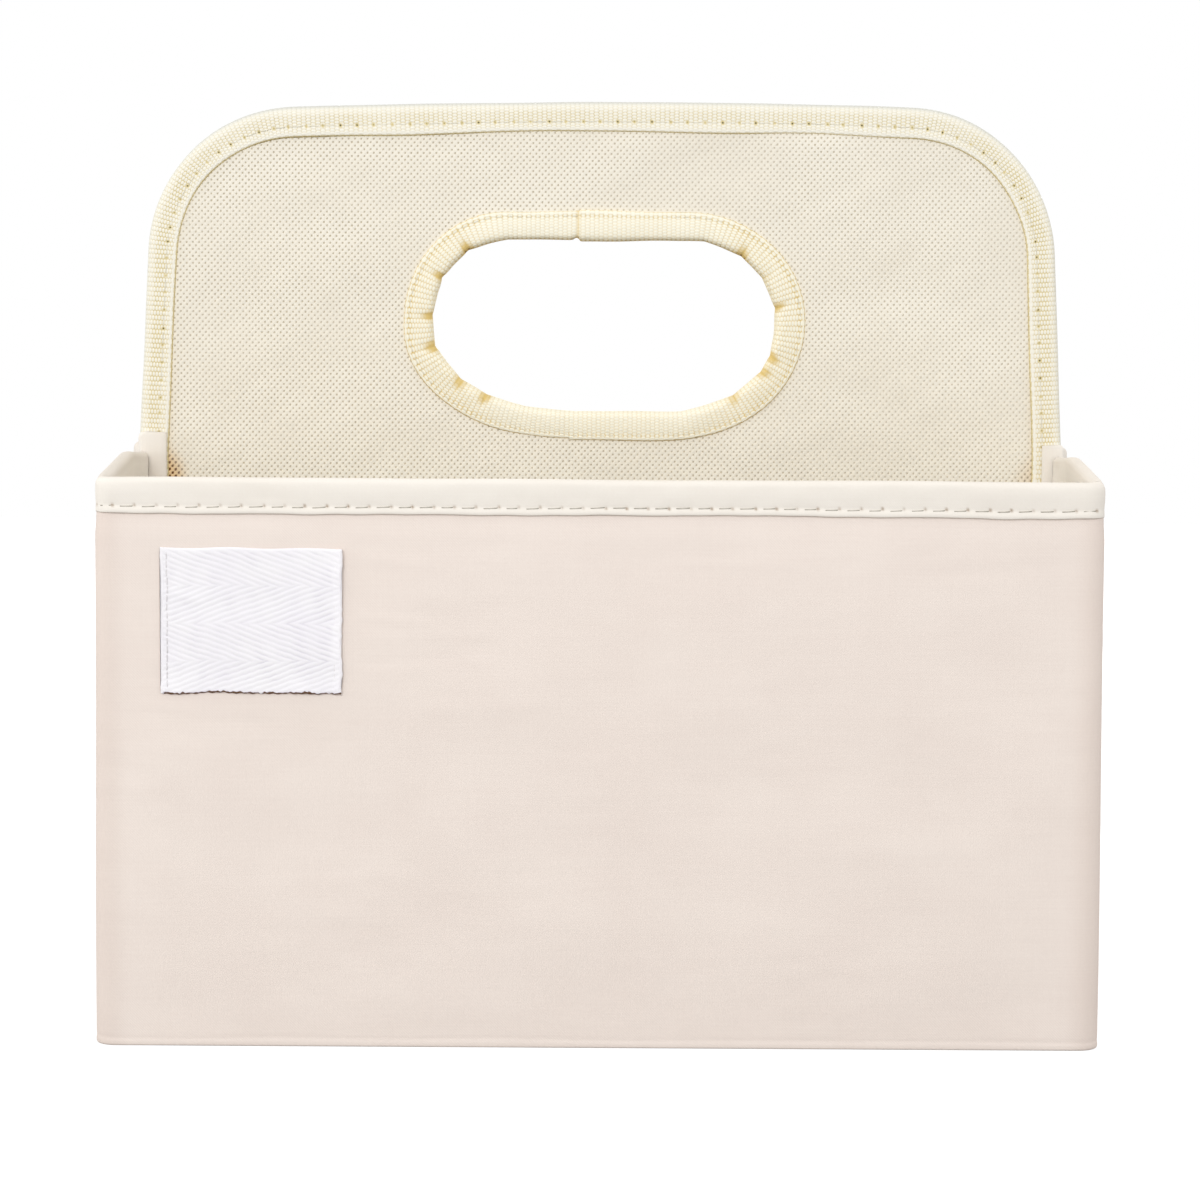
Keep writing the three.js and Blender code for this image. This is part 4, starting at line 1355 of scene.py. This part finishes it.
def floor():
    """A pale floor that looks white where it lies in no shadow."""
    mesh = bpy.data.meshes.new("floor")
    corners = [(-1, -1), (1, -1), (1, 1), (-1, 1)]
    mesh.from_pydata([(x * FLOOR_HALF, y * FLOOR_HALF, 0) for x, y in corners], [], [(0, 1, 2, 3)])
    obj = added("floor", mesh)
    material = bpy.data.materials.new("floor_white")
    material.use_nodes = True
    tree = material.node_tree
    surface = tree.nodes["Principled BSDF"]
    surface.inputs["Base Color"].default_value = FLOOR_GREY
    surface.inputs["Roughness"].default_value = 1.0
    surface.inputs["Specular IOR Level"].default_value = 0.0
    surface.inputs["Emission Color"].default_value = WHITE
    glow = add_node(tree, "Math", [shown_directly(tree), FLOOR_GLOW], operation="MULTIPLY")
    tree.links.new(glow, surface.inputs["Emission Strength"])
    mesh.materials.append(material)


def world():
    """White for the camera, and a little dimmer as a light."""
    scene_world = bpy.data.worlds.new("studio")
    bpy.context.scene.world = scene_world
    scene_world.use_nodes = True
    tree = scene_world.node_tree
    background = tree.nodes["Background"]
    background.inputs["Color"].default_value = WHITE
    level = add_node(tree, "MapRange", {0: shown_directly(tree), 3: WORLD_LEVEL, 4: 1.0})
    tree.links.new(level, background.inputs["Strength"])


def lamp(name, place, target, size, power):
    data = bpy.data.lights.new(name, "AREA")
    data.shape, data.size, data.energy = "DISK", size, power
    obj = added(name, data)
    place, target = np.array(place), np.array(target)
    obj.location = Vector(place)
    obj.rotation_euler = Vector(target - place).to_track_quat("-Z", "Y").to_euler()


# In metres, as all that follows: name, place, target, size and power.
LAMPS = [
    ("front", (-0.6, -2.1, 1.05), (0, -0.05, 0.14), 0.9, 18),
    ("side", (-2.1, -0.35, 0.75), (0, 0, 0.14), 1.1, 4),
    ("far_side", (2.1, -0.35, 0.75), (0, 0, 0.14), 1.1, 3),
    ("left", (-2.0, 0.8, 0.6), (0, 0, 0.14), 1.1, 5),
    ("right", (2.0, 0.8, 0.6), (0, 0, 0.14), 1.1, 4),
    ("rear", (0.5, 2.2, 0.9), (0, 0.05, 0.14), 0.9, 15),
]
CAMERA_PLACE = (0.00015, -1.3015, 0.2859)
CAMERA_LENS = 121.2
CAMERA_DOWN = 6.94
CAMERA_TURN = 0.34


def camera():
    data = bpy.data.cameras.new("camera")
    data.sensor_width, data.lens, data.clip_start, data.clip_end = 36.0, CAMERA_LENS, 0.05, 20.0
    obj = added("camera", data)
    tilt = Matrix.Rotation(math.radians(90 - CAMERA_DOWN), 4, "X")
    turn = Matrix.Rotation(math.radians(CAMERA_TURN), 4, "Z")
    obj.matrix_world = Matrix.Translation(CAMERA_PLACE) @ tilt @ turn
    bpy.context.scene.camera = obj


floor()
world()
for settings in LAMPS:
    lamp(*settings)
camera()
bpy.context.scene.view_settings.view_transform = "Standard"
